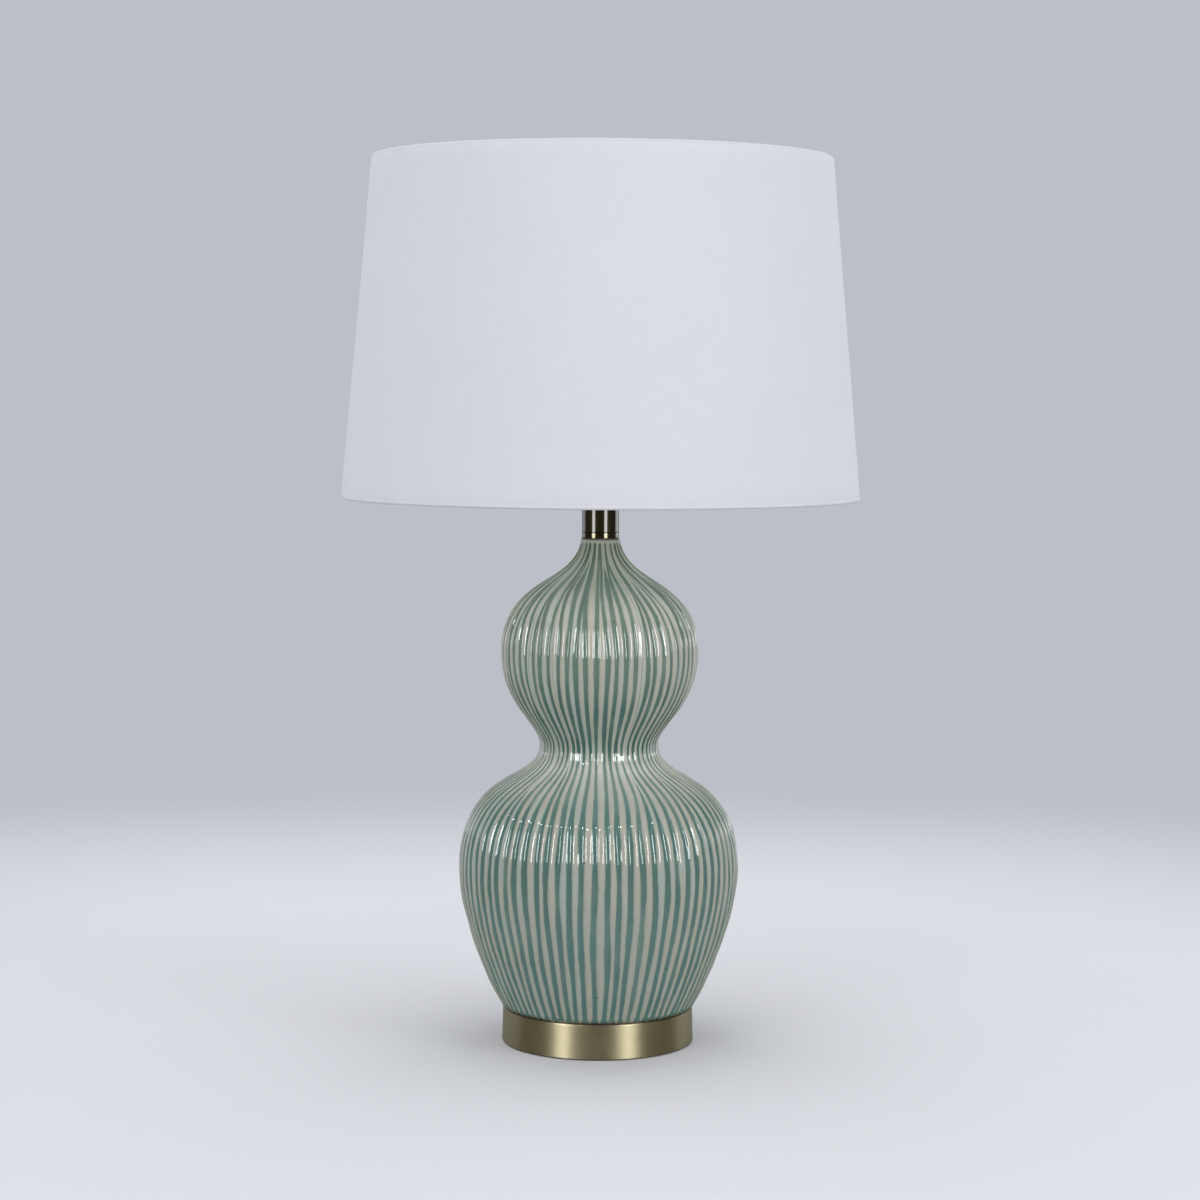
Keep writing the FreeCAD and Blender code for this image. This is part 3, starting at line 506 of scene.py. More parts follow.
# How much of each groove and of each rib is there at each height, and how much room each rib has.
# On the way up one groove in six runs out below the waist. Of the five left, one more groove and
# two ribs run out on the shoulder.
def ribPlan(rng, height):
    count, group = ribs["grooves"], ribs["group"]
    groove, rib, room = (np.ones((len(height), count)) for _ in range(3))

    def runOut(name):
        (lowest, highest), *fades = ribs[name]
        end = rng.uniform(lowest, highest)
        return [smooth(height, end - below, end + above) for below, above in fades]

    left = []
    for start in range(0, count, group):
        gone = start + rng.integers(1, group)
        fade, give = runOut("lowEnds")
        groove[:, gone] = 1 - fade
        room[:, gone - 1:gone + 1] *= 1 - 0.5 * give[:, None]
        left += [k for k in range(start, start + group) if k != gone]
    for start in range(0, len(left), group - 1):
        five = left[start:start + group - 1]
        fade, give = runOut("highEnds")
        groove[:, five[2]] *= 1 - fade
        room[:, five[2] - 1:five[2] + 1] *= 1 - 0.5 * give[:, None]
        for a, b in ((0, 1), (3, 4)):
            fade, give = runOut("ribEnds")
            rib[:, five[a]:five[b]] = 1 - fade[:, None]
            room[:, five[a]:five[b]] *= 1 - give[:, None]
    return groove, rib, np.maximum(room, ribs["leastRoom"])


# Angle of each groove's middle at each height, and once more of the first. The circle is shared out
# by the ribs' room, a little unevenly, and each groove sways from its place.
def grooveAngles(rng, along, room):
    count = ribs["grooves"]
    share = room * (1 + ribs["uneven"] * rng.normal(size=count))
    grouped = share.reshape(len(along), -1, ribs["group"])
    span = 1 + ribs["groupUneven"] * rng.normal(size=grouped.shape[1])
    grouped = grouped / grouped.sum(axis=2, keepdims=True) * span[None, :, None]
    reached = np.cumsum(grouped.reshape(share.shape), axis=1)
    angles = np.concatenate([np.zeros((len(along), 1)), reached], axis=1)
    angles = 2 * np.pi * angles / angles[:, -1:]
    size, lengths = ribs["sway"]
    sway = size * 2 * np.pi / room.sum(axis=1)[:, None] * drift(rng, along, count, lengths)
    angles[:, :-1] += sway
    angles[:, -1] += sway[:, 0]
    return angles


# Angle of each column: its share of the way between two grooves, and slow twists of the whole body.
def columnAngles(rng, along, angles, phases):
    turn = angles[:, :-1, None] + np.diff(angles, axis=1)[:, :, None] * phases
    turn = turn.reshape(len(along), -1)
    for waves, size, length in ribs["twists"]:
        start = rng.uniform(0, 2 * np.pi)
        turn = turn + size * np.sin(waves * turn + 2 * np.pi * along[:, None] / length + start)
    return turn


# Distance of each column from the nearer groove's middle, in half widths of that groove, 3 at most.
def grooveDistance(rng, along, radius, angles, groove, room, phases):
    pitch = 2 * np.pi * radius / room.sum(axis=1)
    size, lengths = ribs["grooveUneven"]
    uneven = 1 + size * drift(rng, along, ribs["grooves"], lengths)
    half = ribs["grooveShare"] * pitch[:, None] * uneven
    half = half * np.maximum(groove, 0.02) ** 0.6
    arc = (radius[:, None] * np.diff(angles, axis=1) / room ** 0.7)[:, :, None]
    fromLeft = arc * phases / half[:, :, None]
    fromRight = arc * (1 - phases) / np.roll(half, -1, axis=1)[:, :, None]
    return np.minimum(np.minimum(fromLeft, fromRight), 3)


# How far the surface lies under the crests. From a groove's middle to a rib's it rises as a hollow
# parabola and then a round one, and the ribs' crests rise and fall a little themselves.
def ribDepth(rng, along, radius, height, groove, rib, room, phases):
    after = np.roll(groove, -1, axis=1)
    near = np.where(phases < 0.5, groove[:, :, None], after[:, :, None])
    near = np.where(phases == 0.5, np.maximum(groove, after)[:, :, None], near)
    out = np.minimum(phases, 1 - phases) * 2
    bend = ribs["grooveShare"] * 2                # where the hollow groove meets the round rib
    crest = np.where(out < bend, out ** 2 / bend, 1 - (1 - out) ** 2 / (1 - bend))
    foot = ribs["footDepth"] + (1 - ribs["footDepth"]) * smooth(height, *ribs["footFade"])
    fade = smooth(height, *ribs["neckFade"]) * foot
    left, reach = ribs["waistDepth"]
    filled = 1 - (1 - left) * np.exp(-((height - gourd["waist"][1]) / reach) ** 2)
    pitch = 2 * np.pi * radius / room.sum(axis=1)
    depth = (ribs["depthShare"] * pitch * fade * filled)[:, None, None]
    whole = rib[:, :, None]
    sunk = depth * ((1 - whole) + whole * near * (1 - crest))
    size, lengths = ribs["ridge"]
    ridge = size * (1 + drift(rng, along, ribs["grooves"], lengths))
    return sunk + ridge[:, :, None] * crest * fade[:, None, None]


# A number for the colour of each rib and of each groove, at each column.
def ribTones(rng, along, phases):
    count = ribs["grooves"]

    def tone(apart, slow, lengths):
        return 0.5 + apart * rng.normal(size=count) + slow * drift(rng, along, count, lengths)

    rib = tone(*ribs["ribTone"])
    groove = tone(*ribs["grooveTone"])
    between = (rib + np.roll(rib, 1, axis=1)) / 2
    rib = np.where(phases == 0, between[:, :, None], rib[:, :, None])
    after = np.roll(groove, -1, axis=1)
    return rib, np.where(phases < 0.5, groove[:, :, None], after[:, :, None])


# The ribbed surface on a grid: angles of the columns, and how far they lie under the outline.
def ribGrid(rng, radius, height):
    phases = np.array(ribs["phases"])
    steps = np.hypot(np.diff(radius), np.diff(height))
    along = np.concatenate([[0], np.cumsum(steps)])
    groove, rib, room = ribPlan(rng, height)
    angles = grooveAngles(rng, along, room)
    turn = columnAngles(rng, along, angles, phases)
    across = grooveDistance(rng, along, radius, angles, groove, room, phases)
    sunk = ribDepth(rng, along, radius, height, groove, rib, room, phases)
    ribTone, grooveTone = ribTones(rng, along, phases)
    return turn, *(a.reshape(len(along), -1) for a in (sunk, across, ribTone, grooveTone))


# The unribbed rest of the section: the foot's land, the inside up to the neck, and the neck's land
# and lip.
def insideSection():
    inside = gourdOutline(gourd["innerRows"])[::-1]
    along = np.gradient(inside, axis=0)
    along /= np.hypot(*along.T)[:, None]
    inside = inside + gourd["wall"] * np.stack([-along[:, 1], along[:, 0]], axis=-1)
    inside[0] = (gourd["foot"][0] - gourd["footLand"], gourd["foot"][1])
    inside[-1] = (gourd["neck"][0] - gourd["wall"], gourd["neck"][1])
    lip = np.array(gourd["neck"]) + np.array(gourd["lip"])
    return np.concatenate([inside, lip])


# Outside with ribs, then the unribbed rest, back to the first row. Each column's angle goes evenly
# from the last ribbed row's to the first one's.
def makeGourd():
    rng = np.random.default_rng(gourd["seed"])
    radius, height = gourdOutline(gourd["rows"]).T
    turn, sunk, across, ribTone, grooveTone = ribGrid(rng, radius, height)
    columns = turn.shape[1]
    outer = np.stack(np.broadcast_arrays(radius[:, None] - sunk, height[:, None]), axis=-1)
    outer[0] -= (0, gourd["footTuck"])
    rest = insideSection()
    inner = np.broadcast_to(rest[:, None, :], (len(rest), columns, 2))
    r, z = np.moveaxis(np.concatenate([outer, inner]), -1, 0)
    back = turn[-1] + (turn[0] - turn[-1]) * np.linspace(0, 1, len(rest))[:, None]
    turn = np.concatenate([turn, back]) + np.pi / 2
    thing = skin("gourd", ringsAt(r, z, turn))
    for name, values, inside in (("across", across, 3.0), ("ribTone", ribTone, 0.5),
                                 ("grooveTone", grooveTone, 0.5)):
        setValue(thing, name, np.concatenate([values, np.full((len(rest), columns), inside)]))
    phases = np.arange(ribs["grooves"])[:, None] + np.array(ribs["phases"])
    u = np.append(phases.ravel() / ribs["grooves"], 1)
    v = np.linspace(0, 1, len(turn) + 1)[:, None]
    setUv(thing, "ribs", *np.broadcast_arrays(u, v))
    return thing


glaze = {
    # height in metres and colour of the grooves, from the foot up
    "teal": (
        (0.030, (0.105, 0.224, 0.204)), (0.100, (0.112, 0.218, 0.205)),
        (0.145, (0.087, 0.168, 0.152)), (0.195, (0.073, 0.162, 0.143)),
        # painted highlight: the pale teal at 0.220 stands for sheen on the up-facing shoulder below the waist
        (0.220, (0.206, 0.300, 0.262)), (0.238, (0.049, 0.128, 0.106)),
        (0.250, (0.054, 0.139, 0.118)), (0.270, (0.075, 0.166, 0.144)),
        (0.300, (0.136, 0.219, 0.187)), (0.345, (0.140, 0.210, 0.163)),
        (0.365, (0.104, 0.169, 0.130)), (0.385, (0.084, 0.132, 0.085)),
    ),
    # the same of the ribs
    "rib": (
        (0.030, (0.458, 0.478, 0.429)), (0.150, (0.400, 0.418, 0.396)),
        # painted highlight: the pale rib colour at 0.222 stands for sheen on the up-facing shoulder below the
        # waist
        (0.200, (0.382, 0.388, 0.352)), (0.222, (0.660, 0.656, 0.618)),
        (0.238, (0.430, 0.458, 0.426)), (0.250, (0.443, 0.461, 0.432)),
        (0.310, (0.485, 0.494, 0.458)), (0.345, (0.518, 0.512, 0.464)),
        (0.365, (0.348, 0.373, 0.321)), (0.390, (0.372, 0.397, 0.332)),
    ),
    "rampTop": 0.4,                   # height where the two ramps end
    "tealPale": (0.220, 0.300, 0.260),
    "paleMost": 0.6,                  # share of the pale green in the palest groove
    "paleChance": (0.9, 0.5, 0.45, 1.45),   # weights of slow and cloud, then from and to
    # stretch, scale, detail and roughness of the noises
    "fine": ((1, 1, 0.35), 420, 3, 0.6),
    "slow": ((1, 1, 0.45), 55, 3, 0.55),
    "cloud": ((1, 1, 1), 16, 2, 0.5),
    "ripple": ((1, 1, 0.3), 130, 2, 0.5),
    "warm": (1.000, 0.955, 0.885),    # shades of a rib
    "grey": (0.970, 0.975, 0.955),
    "cool": (0.915, 1.000, 0.975),
    "greyChance": (0.3, 0.42, 0.62),  # weight of fine, then from and to
    "coolChance": (0.7, 0.35, 1.00),  # weight of slow, then from and to
    "grain": (0.10, 0.12, 0.10),
    "grainShare": 0.35,
    # bare clay, darkened into painted shade: the dark line where the body sits on the ring
    "clayAndGapShade": (0.090, 0.082, 0.055),
    "clayBelow": (0.0302, 0.0293),    # heights of the unglazed edge at the foot
    "clayAbove": (0.3985, 0.3993),    # and at the neck
    "clayStray": 0.0012,              # how far the edge at the foot strays
    "clayLess": 0.6,                  # how much of the clay shows at the neck
    "clayRough": 0.45,                # what it adds to the roughness
    "edgeRough": 0.22,                # how far the green's edge strays, of a groove's half width
    "edgeWander": 0.7,
    "edge": (1.22, 0.72),             # where the green ends, in half widths
    # where its lines widen: heights from and to, and by how many half widths
    "pool": (0.0338, 0.0298, 0.9),
    "poolStray": 0.003,
    "shoulder": (0.350, 0.368, 0.27),
    "lip": (0.3955, 0.3982, -1.6),
    # the same round a height: from which distance to which
    "aboveWaist": (0.257, 0.032, 0.014, 0.12),
    "belowWaist": (0.212, 0.030, 0.012, -0.14),
    "haloEdge": (2.2, 0.9),           # where its pale rim ends
    "haloShare": 0.22,
    "speck": (0.040, 0.035, 0.025),
    "speckCells": 95.0,               # per metre
    "speckPick": (0.962, 0.97),       # share of the cells that have none
    "speckSize": (0.075, 0.04),       # of a cell
    "pinholeCells": 150.0,
    "pinholeSize": 0.085,
    "relief": (0.00012, 0.6),         # height, and how much of it ripples and pinholes take
    "roughness": (0.16, 0.26),
    "coat": {"Specular IOR Level": 0.08,
             "Coat Weight": 1.0, "Coat Roughness": 0.035, "Coat IOR": 1.5},
}


# A run of colours over the height. The glaze's runs hold a painted highlight just below the waist.
def byHeight(f, z, name):
    top = 1 / glaze["rampTop"]
    return f.ramp(z * top, [(height * top, colour) for height, colour in glaze[name]])


# How far a point lies from the middle of its green line, in half widths. The lines run together in
# a pool at the foot. They are wider above the waist and on the top shoulder and narrower below the
# waist, and they end before the lip.
def lineDistance(f, z, fine, slow):
    def wider(at, low, high, size):
        return f.step(at, low, high) * size

    def widerRound(middle, low, high, size):
        return f.step((z - middle).size(), low, high) * size

    foot = wider(z + (slow - 0.5) * glaze["poolStray"], *glaze["pool"])
    top = wider(z, *glaze["shoulder"]) + wider(z, *glaze["lip"])
    waist = widerRound(*glaze["aboveWaist"]) + widerRound(*glaze["belowWaist"])
    strays = (fine - 0.5) * glaze["edgeRough"] * 2 + (slow - 0.5) * glaze["edgeWander"]
    return f.value("across") + strays - foot - top - waist


# Green glaze in the grooves, paler in some than in others.
def grooveColour(f, z, slow, cloud):
    slowWeight, cloudWeight, low, high = glaze["paleChance"]
    chance = f.value("grooveTone") + (slow - 0.5) * slowWeight + (cloud - 0.5) * cloudWeight
    pale = f.step(chance, low, high) * glaze["paleMost"]
    return f.tint(pale, byHeight(f, z, "teal"), glaze["tealPale"])


# Cream glaze on the ribs: warm, grey or cool.
def ribColour(f, z, fine, slow, cloud):
    weight, low, high = glaze["greyChance"]
    warm = f.tint(f.step(cloud + (fine - 0.5) * weight, low, high), glaze["warm"], glaze["grey"])
    weight, low, high = glaze["coolChance"]
    cool = f.step(f.value("ribTone") + (slow - 0.5) * weight, low, high)
    return f.tint(1.0, byHeight(f, z, "rib"), f.tint(cool, warm, glaze["cool"]), "MULTIPLY")


# Cream glaze with green lines, a scatter of dark specks, pinholes, and bare clay at foot and neck,
# whose dark colour is painted shade where the body meets the ring.
def glazeFinish():
    f = newFinish("glaze")
    spot = f.place()
    z = f.height()
    fine, slow, cloud, ripple = [f.grain(*glaze[n]) for n in ("fine", "slow", "cloud", "ripple")]
    distance = lineDistance(f, z, fine, slow)
    halo = f.step(distance, *glaze["haloEdge"]) * glaze["haloShare"]
    rib = f.tint(halo, ribColour(f, z, fine, slow, cloud), glaze["tealPale"])
    colour = f.tint(f.step(distance, *glaze["edge"]), rib, grooveColour(f, z, slow, cloud))
    grain = (fine - 0.5).size() * glaze["grainShare"]
    colour = f.tint(grain, colour, glaze["grain"], "MULTIPLY")
    # bare clay at foot and neck, in a dark colour that paints the shade of the gap at the ring
    bareAndGapShade = f.step(z + (fine - 0.5) * glaze["clayStray"], *glaze["clayBelow"])
    bareAndGapShade = bareAndGapShade.most(f.step(z, *glaze["clayAbove"]) * glaze["clayLess"])
    colour = f.tint(bareAndGapShade, colour, glaze["clayAndGapShade"])
    dots = f.step(f.cells(spot, glaze["speckCells"]), *glaze["speckSize"])
    specks = dots * f.picked(spot, glaze["speckCells"], glaze["speckPick"])
    colour = f.tint(specks, colour, glaze["speck"])
    pinholes = f.step(f.cells(spot, glaze["pinholeCells"]), glaze["pinholeSize"], 0.0)
    relief, share = glaze["relief"]
    rough = f.between(slow, *glaze["roughness"]) + bareAndGapShade * glaze["clayRough"]
    return f.dress({"Base Color": colour, "Roughness": rough, **glaze["coat"],
                    "Normal": f.bump(ripple * share - pinholes * share, relief)})


body = makeGourd()
onBody(body, "root", glazeFinish(), "gourd_body")
print("gourd made:", len(body.data.polygons), "faces")


# Shade: linen rolled round two wires

shade = {
    "bottom": (0.2032, 0.4311),      # radius and height of the cloth's edge
    "top": (0.1795, 0.6973),
    "cloth": 0.0006,                 # thickness
    "wrap": 0.0023,                  # outer radius of the cloth round a wire
    "columns": 288,
    "wallRows": 30,
    "rollRows": 14,
    "slack": (0.00012, (5, 8, 13, 21)),   # size and waves round of the cloth's slight slackness
    "seam": (0.0035, 0.0045),        # half width of the lapped seam, where it slopes off
    "seamRise": 0.00035,
    "flat": (1.262, 0.300),          # cutting size and area of the flat cloth
    "area": 0.343,
    "seed": 5,
}


# A point up the slant from the bottom edge and inward from the cloth's face.
def inWall(up, inward):
    bottom, top = np.array(shade["bottom"]), np.array(shade["top"])
    slant = top - bottom
    slant = slant / np.hypot(*slant)
    across = np.array((-slant[1], slant[0]))
    return bottom + np.multiply.outer(up, slant) + np.multiply.outer(inward, across)


# The cloth's section as one closed line: round the top wire, down the outside and round the bottom
# wire, then back along its other face, a cloth's thickness inside. Each roll is three quarters of a
# circle, and its wire lies where the roll just reaches the edge's height.
def clothSection():
    bottom, top = np.array(shade["bottom"]), np.array(shade["top"])
    slant = np.hypot(*(top - bottom))
    sine = (bottom[0] - top[0]) / slant
    cosine = (top[1] - bottom[1]) / slant
    wrap, thick = shade["wrap"], shade["cloth"]
    wires = {1: slant - wrap * (1 - sine) / cosine, -1: wrap * (1 + sine) / cosine}
    roll = np.radians(np.linspace(0, 270, shade["rollRows"]))

    def rolled(end, radius, angles):
        return inWall(wires[end] + end * radius * np.sin(angles), wrap - radius * np.cos(angles))

    def wall(inward):
        share = np.linspace(0, 1, shade["wallRows"] + 2)[1:-1]
        up = wires[1] + (wires[-1] - wires[1]) * share
        return inWall(up, np.full(len(up), inward))

    outer = [rolled(1, wrap, roll[::-1]), wall(0), rolled(-1, wrap, roll)]
    inner = [rolled(-1, wrap - thick, roll[::-1]), wall(thick)[::-1], rolled(1, wrap - thick, roll)]
    return np.concatenate(outer + inner)


# The section carried round the lamp, a little slack, with the lapped seam raised at the back.
def makeShade():
    section = clothSection()
    step = np.hypot(*np.diff(section, axis=0, append=section[:1]).T)
    along = np.concatenate([[0], np.cumsum(step)])
    turn = np.linspace(0, 2 * np.pi, shade["columns"] + 1)
    around = np.broadcast_to(turn[:-1], (len(section), shade["columns"]))
    r, z = section[:, :1], section[:, 1:]
    rng = np.random.default_rng(shade["seed"])
    size, waves = shade["slack"]
    slack = sum(size * np.sin(n * around + 40 * z * rng.uniform(-1, 1) + rng.uniform(0, 6.3))
                for n in waves)
    outside = np.arange(len(section)) < shade["wallRows"] + 2 * shade["rollRows"]
    fromSeam = np.abs((around - np.pi / 2) * r)
    lap = shade["seamRise"] * (1 - smooth(fromSeam, *shade["seam"])) * outside[:, None]
    thing = skin("shade_linen", ringsAt(r + slack + lap, z, around))
    middle = (shade["bottom"][0] + shade["top"][0]) / 2
    setUv(thing, "weave", *np.broadcast_arrays(turn * middle, along[:, None]))
    return thing


linen = {
    "face": (0.645, 0.656, 0.722),
    "hollow": (0.621, 0.632, 0.697),
    # painted light: the rolled bottom hem is paler than the cloth, against the shade on its down-facing roll
    "hem": (0.760, 0.765, 0.810),
    "hemHeights": (0.4346, 0.4330, 0.7),     # from, to and how much of it
    # painted shade: the top edge is darker, against the light that its up-facing roll catches
    "crown": (0.495, 0.505, 0.560),      # along the top edge
    "crownHeights": (0.6945, 0.6965, 0.8),
    "thread": 0.00075,                   # from one thread to the next
    "threadSway": (90, 0.0007),          # scale and size
    "tallStreaks": (760, 38, 1),         # per metre, across and up
    "wideStreaks": (42, 760, 1),
    "streakGrain": (1, 3, 0.6),          # scale, detail and roughness
    "cloudGrain": 14,
    # weights of tall and wide streaks, threads and clouds in the tone, then its ends
    "weights": (0.60, 0.40, 0.05, 0.20),
    "hollows": (0.32, 0.66),
    "slub": (0.690, 0.680, 0.690),
    "slubCells": 85.0,                   # per metre
    "slubPick": (0.93, 0.95),            # share of the cells that have none
    "slubSize": (0.10, 0.03),
    "slubLong": (1, 1.4, 1),
    "slubShare": 0.5,
    "relief": (0.00010, 0.8),
    "reliefWeights": (0.5, 0.6, 0.5),    # of threads, tall streaks and wide streaks
    "surface": {"Roughness": 0.92, "Sheen Weight": 0.12, "Sheen Roughness": 0.5},
}


# Threads over and under each other are a sine across times a sine up; streaks of thicker yarn run
# both ways over them. Painted light brightens the bottom hem and painted shade darkens the top edge.
def linenFinish():
    f = newFinish("linen")
    flat = f.node("ShaderNodeUVMap", {"uv_map": "weave"})
    apart = f.node("ShaderNodeSeparateXYZ", None, {0: flat}, out="X")
    up = f.node("ShaderNodeSeparateXYZ", None, {0: flat}, out="Y")
    scale, size = linen["threadSway"]
    sway = (f.noise(flat, scale, 2) - 0.5) * size
    turns = 2 * math.pi / linen["thread"]
    over = ((apart + sway) * turns).sine() * ((up + sway) * turns).sine()
    tall, wide = [f.noise(f.scaled(flat, linen[name]), *linen["streakGrain"])
                  for name in ("tallStreaks", "wideStreaks")]
    cloud = f.noise(flat, linen["cloudGrain"], 2)
    tallPart, widePart, overPart, cloudPart = linen["weights"]
    level = tall * tallPart + wide * widePart + over * overPart + (cloud - 0.5) * cloudPart
    colour = f.tint(f.step(level, *linen["hollows"]), linen["hollow"], linen["face"])
    knot = f.scaled(flat, linen["slubLong"])
    slubs = f.step(f.cells(knot, linen["slubCells"]), *linen["slubSize"])
    slubs = slubs * f.picked(knot, linen["slubCells"], linen["slubPick"])
    colour = f.tint(slubs * linen["slubShare"], colour, linen["slub"])
    # painted light on the bottom hem, painted shade along the top edge
    for edge in ("hem", "crown"):
        low, high, share = linen[edge + "Heights"]
        colour = f.tint(f.step(f.height(), low, high) * share, colour, linen[edge])
    overPart, tallPart, widePart = linen["reliefWeights"]
    relief = over * overPart + tall * tallPart + wide * widePart
    return f.dress({"Base Color": colour, "Normal": f.bump(relief, *linen["relief"]),
                    **linen["surface"]})


cloth = makeShade()
onBody(cloth, "shade", linenFinish(), "shade_cloth")
print("shade made:", len(cloth.data.polygons), "faces")


# Felt under the base

felt = {
    "radius": 0.0742,
    "thickness": 0.0020,
    "edge": 0.0006,                # radius of its rounded edge
    "fray": (0.00008, (17, 31, 53)),
    "rings": (0, 0.35, 0.7, 0.9),  # of the flat faces, as shares of the radius
    "columns": 160,
    "seed": 3,
    "colour": (0.030, 0.031, 0.034),
    "fibre": (0.062, 0.062, 0.066),
    "hairs": ((1, 1, 0.6), 900, 4, 0.7),   # stretch, scale, detail and roughness
    "patches": ((1, 1, 1), 60, 3, 0.5),
    "patchShare": 0.4,
    "tones": (0.4, 0.75),
    "relief": (0.0004, 0.9),
    "surface": {"Roughness": 0.97, "Sheen Weight": 0.3, "Sheen Roughness": 0.6},
}


# A section from the middle of the underside, round the edge and to the middle of the top, carried
# round the axis.
def makeFelt():
    high, edge, radius = felt["thickness"], felt["edge"], felt["radius"]
    corner = np.radians(np.linspace(0, 90, 5))
    under = [(radius - edge + edge * math.sin(a), edge - edge * math.cos(a)) for a in corner]
    over = [(r, high - z) for r, z in under[::-1]]
    inward = [(radius * share, 0.0) for share in felt["rings"]]
    section = np.array(inward + under + over + [(r, high) for r, _ in inward[::-1]])
    turn = np.linspace(0, -2 * np.pi, felt["columns"], endpoint=False)
    rng = np.random.default_rng(felt["seed"])
    size, waves = felt["fray"]
    frayed = sum(size * np.sin(n * turn + rng.uniform(0, 6.3)) for n in waves)
    r, z = section[:, :1], section[:, 1:]
    r = r - np.abs(frayed) * (r > felt["rings"][-1] * radius)
    thing = skin("felt_disc", ringsAt(r, z, turn), looped=False)
    mergePoles(thing)
    return thing


# Short paler hairs over dark felt, more of them in some patches than in others.
def feltFinish():
    f = newFinish("felt")
    hair = f.grain(*felt["hairs"])
    patch = f.grain(*felt["patches"])
    share = f.step(hair + (patch - 0.5) * felt["patchShare"], *felt["tones"])
    return f.dress({"Base Color": f.tint(share, felt["colour"], felt["fibre"]),
                    "Normal": f.bump(hair, *felt["relief"]), **felt["surface"]})


pad = makeFelt()
onBody(pad, "root", feltFinish(), "felt_pad")
print("felt made:", len(pad.data.polygons), "faces")


# Finishes of the nodes that keep their own shape

metals = {
    # colour, darker patina, roughness, brush direction (around, up or none), brush depth
    "base_brass": ((0.515, 0.470, 0.310), (0.445, 0.404, 0.262), 0.45, "around", 0.3),
    # painted shade: the neck's tube is darkened far below brass, standing for the dark reflections it shows
    # under the lampshade
    "neck_brass": ((0.024, 0.021, 0.009), (0.017, 0.015, 0.006), 0.40, "up", 0.15),
    "finial_brass": ((0.480, 0.410, 0.240), (0.330, 0.280, 0.160), 0.22, "around", 0.25),
    "harp_brass": ((0.560, 0.450, 0.240), (0.420, 0.330, 0.170), 0.22, "up", 0.2),
    "frame_brass": ((0.540, 0.440, 0.240), (0.400, 0.320, 0.170), 0.28, "none", 0.2),
    "frame_steel": ((0.520, 0.520, 0.510), (0.400, 0.400, 0.390), 0.32, "none", 0.2),
    "zinc_steel": ((0.560, 0.570, 0.600), (0.430, 0.430, 0.420), 0.35, "around", 0.3),
    "socket_brass": ((0.600, 0.490, 0.260), (0.460, 0.370, 0.190), 0.26, "up", 0.25),
    "screw_shell": ((0.680, 0.680, 0.680), (0.520, 0.520, 0.520), 0.30, "around", 0.2),
    "shaft_steel": ((0.560, 0.560, 0.560), (0.430, 0.430, 0.430), 0.28, "around", 0.2),
    "bulb_metal": ((0.700, 0.700, 0.700), (0.540, 0.540, 0.540), 0.30, "around", 0.2),
}
brushes = {"around": (18, 18, 2600), "up": (2200, 2200, 14), "none": (500, 500, 500)}
brushed = {
    "patches": ((1, 1, 1), 45, 3, 0.6),
    "patina": (0.38, 0.66),          # where the darker patina ends
    "roughness": (0.8, 1.25),        # smoothest and roughest, of the roughness given
    "depth": 0.00003,                # of a brush line, at brush depth 1
    "stretch": {"base_brass": 0.92},   # how far brushing around stretches highlights
    "otherStretch": 0.7,
    "turned": 0.25,                  # a quarter turn: across the lines
}
neckPolish = {
    "lacquer": {"Coat Roughness": 0.04, "Coat IOR": 1.5},
    # painted shade too: the collar is darkened like the tube
    "collar": (0.050, 0.042, 0.015),
    "collarTop": (0.40495, 0.40485),
    "collarRough": (0.40, 0.16),     # of the tube and of the collar
    "joint": (0.004, 0.004, 0.003),  # dark line between the two
    "jointHeight": 0.4050,
    "jointWidth": (0.0005, 0.0003),
}


# Brush lines in the colour, the roughness and the relief, and patches of patina.
def metalFinish(slot):
    colour, patina, roughness, brush, depth = metals[slot]
    f = newFinish(slot)
    lines = f.grain(brushes[brush], 1, 3, 0.6)
    patches = f.grain(*brushed["patches"])
    share = f.step(lines * 0.5 + patches * 0.5, *brushed["patina"])
    least, most = [roughness * r for r in brushed["roughness"]]
    sockets = {
        "Base Color": f.tint(share, patina, colour),
        "Metallic": 1.0,
        "Roughness": f.between(lines * 0.6 + patches * 0.4, least, most),
        "Normal": f.bump(lines, brushed["depth"] * depth),
    }
    if brush == "around":
        sockets["Anisotropic"] = brushed["stretch"].get(slot, brushed["otherStretch"])
        sockets["Anisotropic Rotation"] = brushed["turned"]
    if slot == "neck_brass":
        lacquered(f, sockets)
    return f.dress(sockets)


# Clear lacquer on the neck, whose collar is more polished than its tube.
def lacquered(f, sockets):
    z = f.height()
    collar = f.step(z, *neckPolish["collarTop"])
    joint = f.step((z - neckPolish["jointHeight"]).size(), *neckPolish["jointWidth"])
    colour = f.tint(collar, sockets["Base Color"], neckPolish["collar"])
    sockets["Base Color"] = f.tint(joint, colour, neckPolish["joint"])
    sockets["Roughness"] = f.between(collar, *neckPolish["collarRough"])
    sockets["Coat Weight"] = 1.0 - joint * 0.7
    sockets.update(neckPolish["lacquer"])


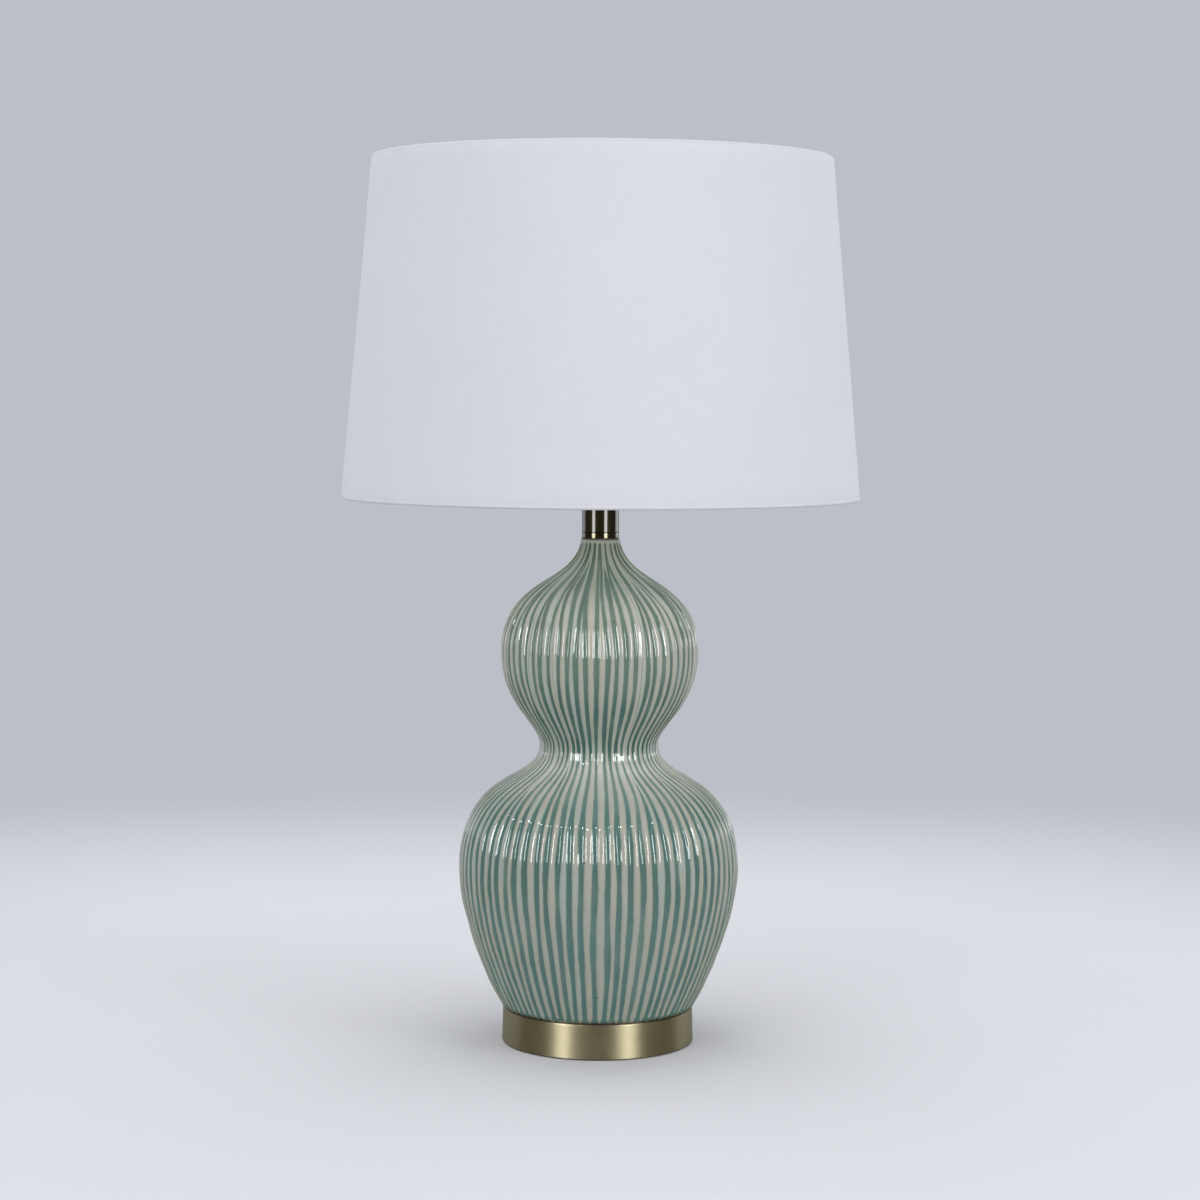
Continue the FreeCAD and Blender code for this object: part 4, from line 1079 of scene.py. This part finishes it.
others = {
    # colour, second colour, roughness, grain per metre, relief in metres
    "gasket_rubber": ((0.020, 0.020, 0.020), (0.035, 0.035, 0.035), 0.62, 700, 0.00005),
    "cast_iron": ((0.030, 0.030, 0.031), (0.060, 0.058, 0.055), 0.55, 260, 0.0005),
    "board": ((0.280, 0.195, 0.115), (0.400, 0.300, 0.190), 0.90, 320, 0.00012),
    "sleeve_card": ((0.170, 0.130, 0.090), (0.240, 0.190, 0.135), 0.88, 500, 0.00008),
    "socket_moulding": ((0.018, 0.018, 0.018), (0.030, 0.029, 0.028), 0.42, 380, 0.00005),
    "knob_plastic": ((0.022, 0.018, 0.015), (0.034, 0.029, 0.025), 0.24, 260, 0.00003),
    "bulb_diffuser": ((0.800, 0.800, 0.785), (0.840, 0.840, 0.830), 0.55, 240, 0.00002),
    "bulb_white": ((0.740, 0.740, 0.730), (0.780, 0.780, 0.770), 0.32, 200, 0.00002),
    "bulb_black": ((0.010, 0.010, 0.011), (0.020, 0.020, 0.021), 0.10, 200, 0.00002),
    "liner": ((0.800, 0.800, 0.800), (0.840, 0.840, 0.840), 0.38, 120, 0.00003),
}
mottled = {"tones": (0.35, 0.68), "roughness": (0.85, 1.15)}


# Two close colours in a fine grain, with a relief.
def plainFinish(slot):
    colour, second, roughness, grain, relief = others[slot]
    f = newFinish(slot)
    fine = f.grain((1, 1, 1), grain, 4, 0.6)
    patches = f.grain((1, 1, 1), grain / 9, 2, 0.5)
    share = f.step(fine * 0.6 + patches * 0.4, *mottled["tones"])
    least, most = [roughness * r for r in mottled["roughness"]]
    return f.dress({"Base Color": f.tint(share, colour, second),
                    "Roughness": f.between(fine * 0.5 + patches * 0.5, least, most),
                    "Normal": f.bump(fine, relief)})


# Every node that still shows gets the finish of its slot.
def dressNodes():
    finishes = {}
    for row in frame["record"]["subparts"]:
        node, slot = frame["nodes"][row["node"]], row["material_slot"]
        if node.hide_render:
            continue
        if slot not in finishes:
            finishes[slot] = metalFinish(slot) if slot in metals else plainFinish(slot)
        node.data.materials.clear()
        node.data.materials.append(finishes[slot])
    return len(finishes)


print("nodes dressed with", dressNodes(), "finishes")
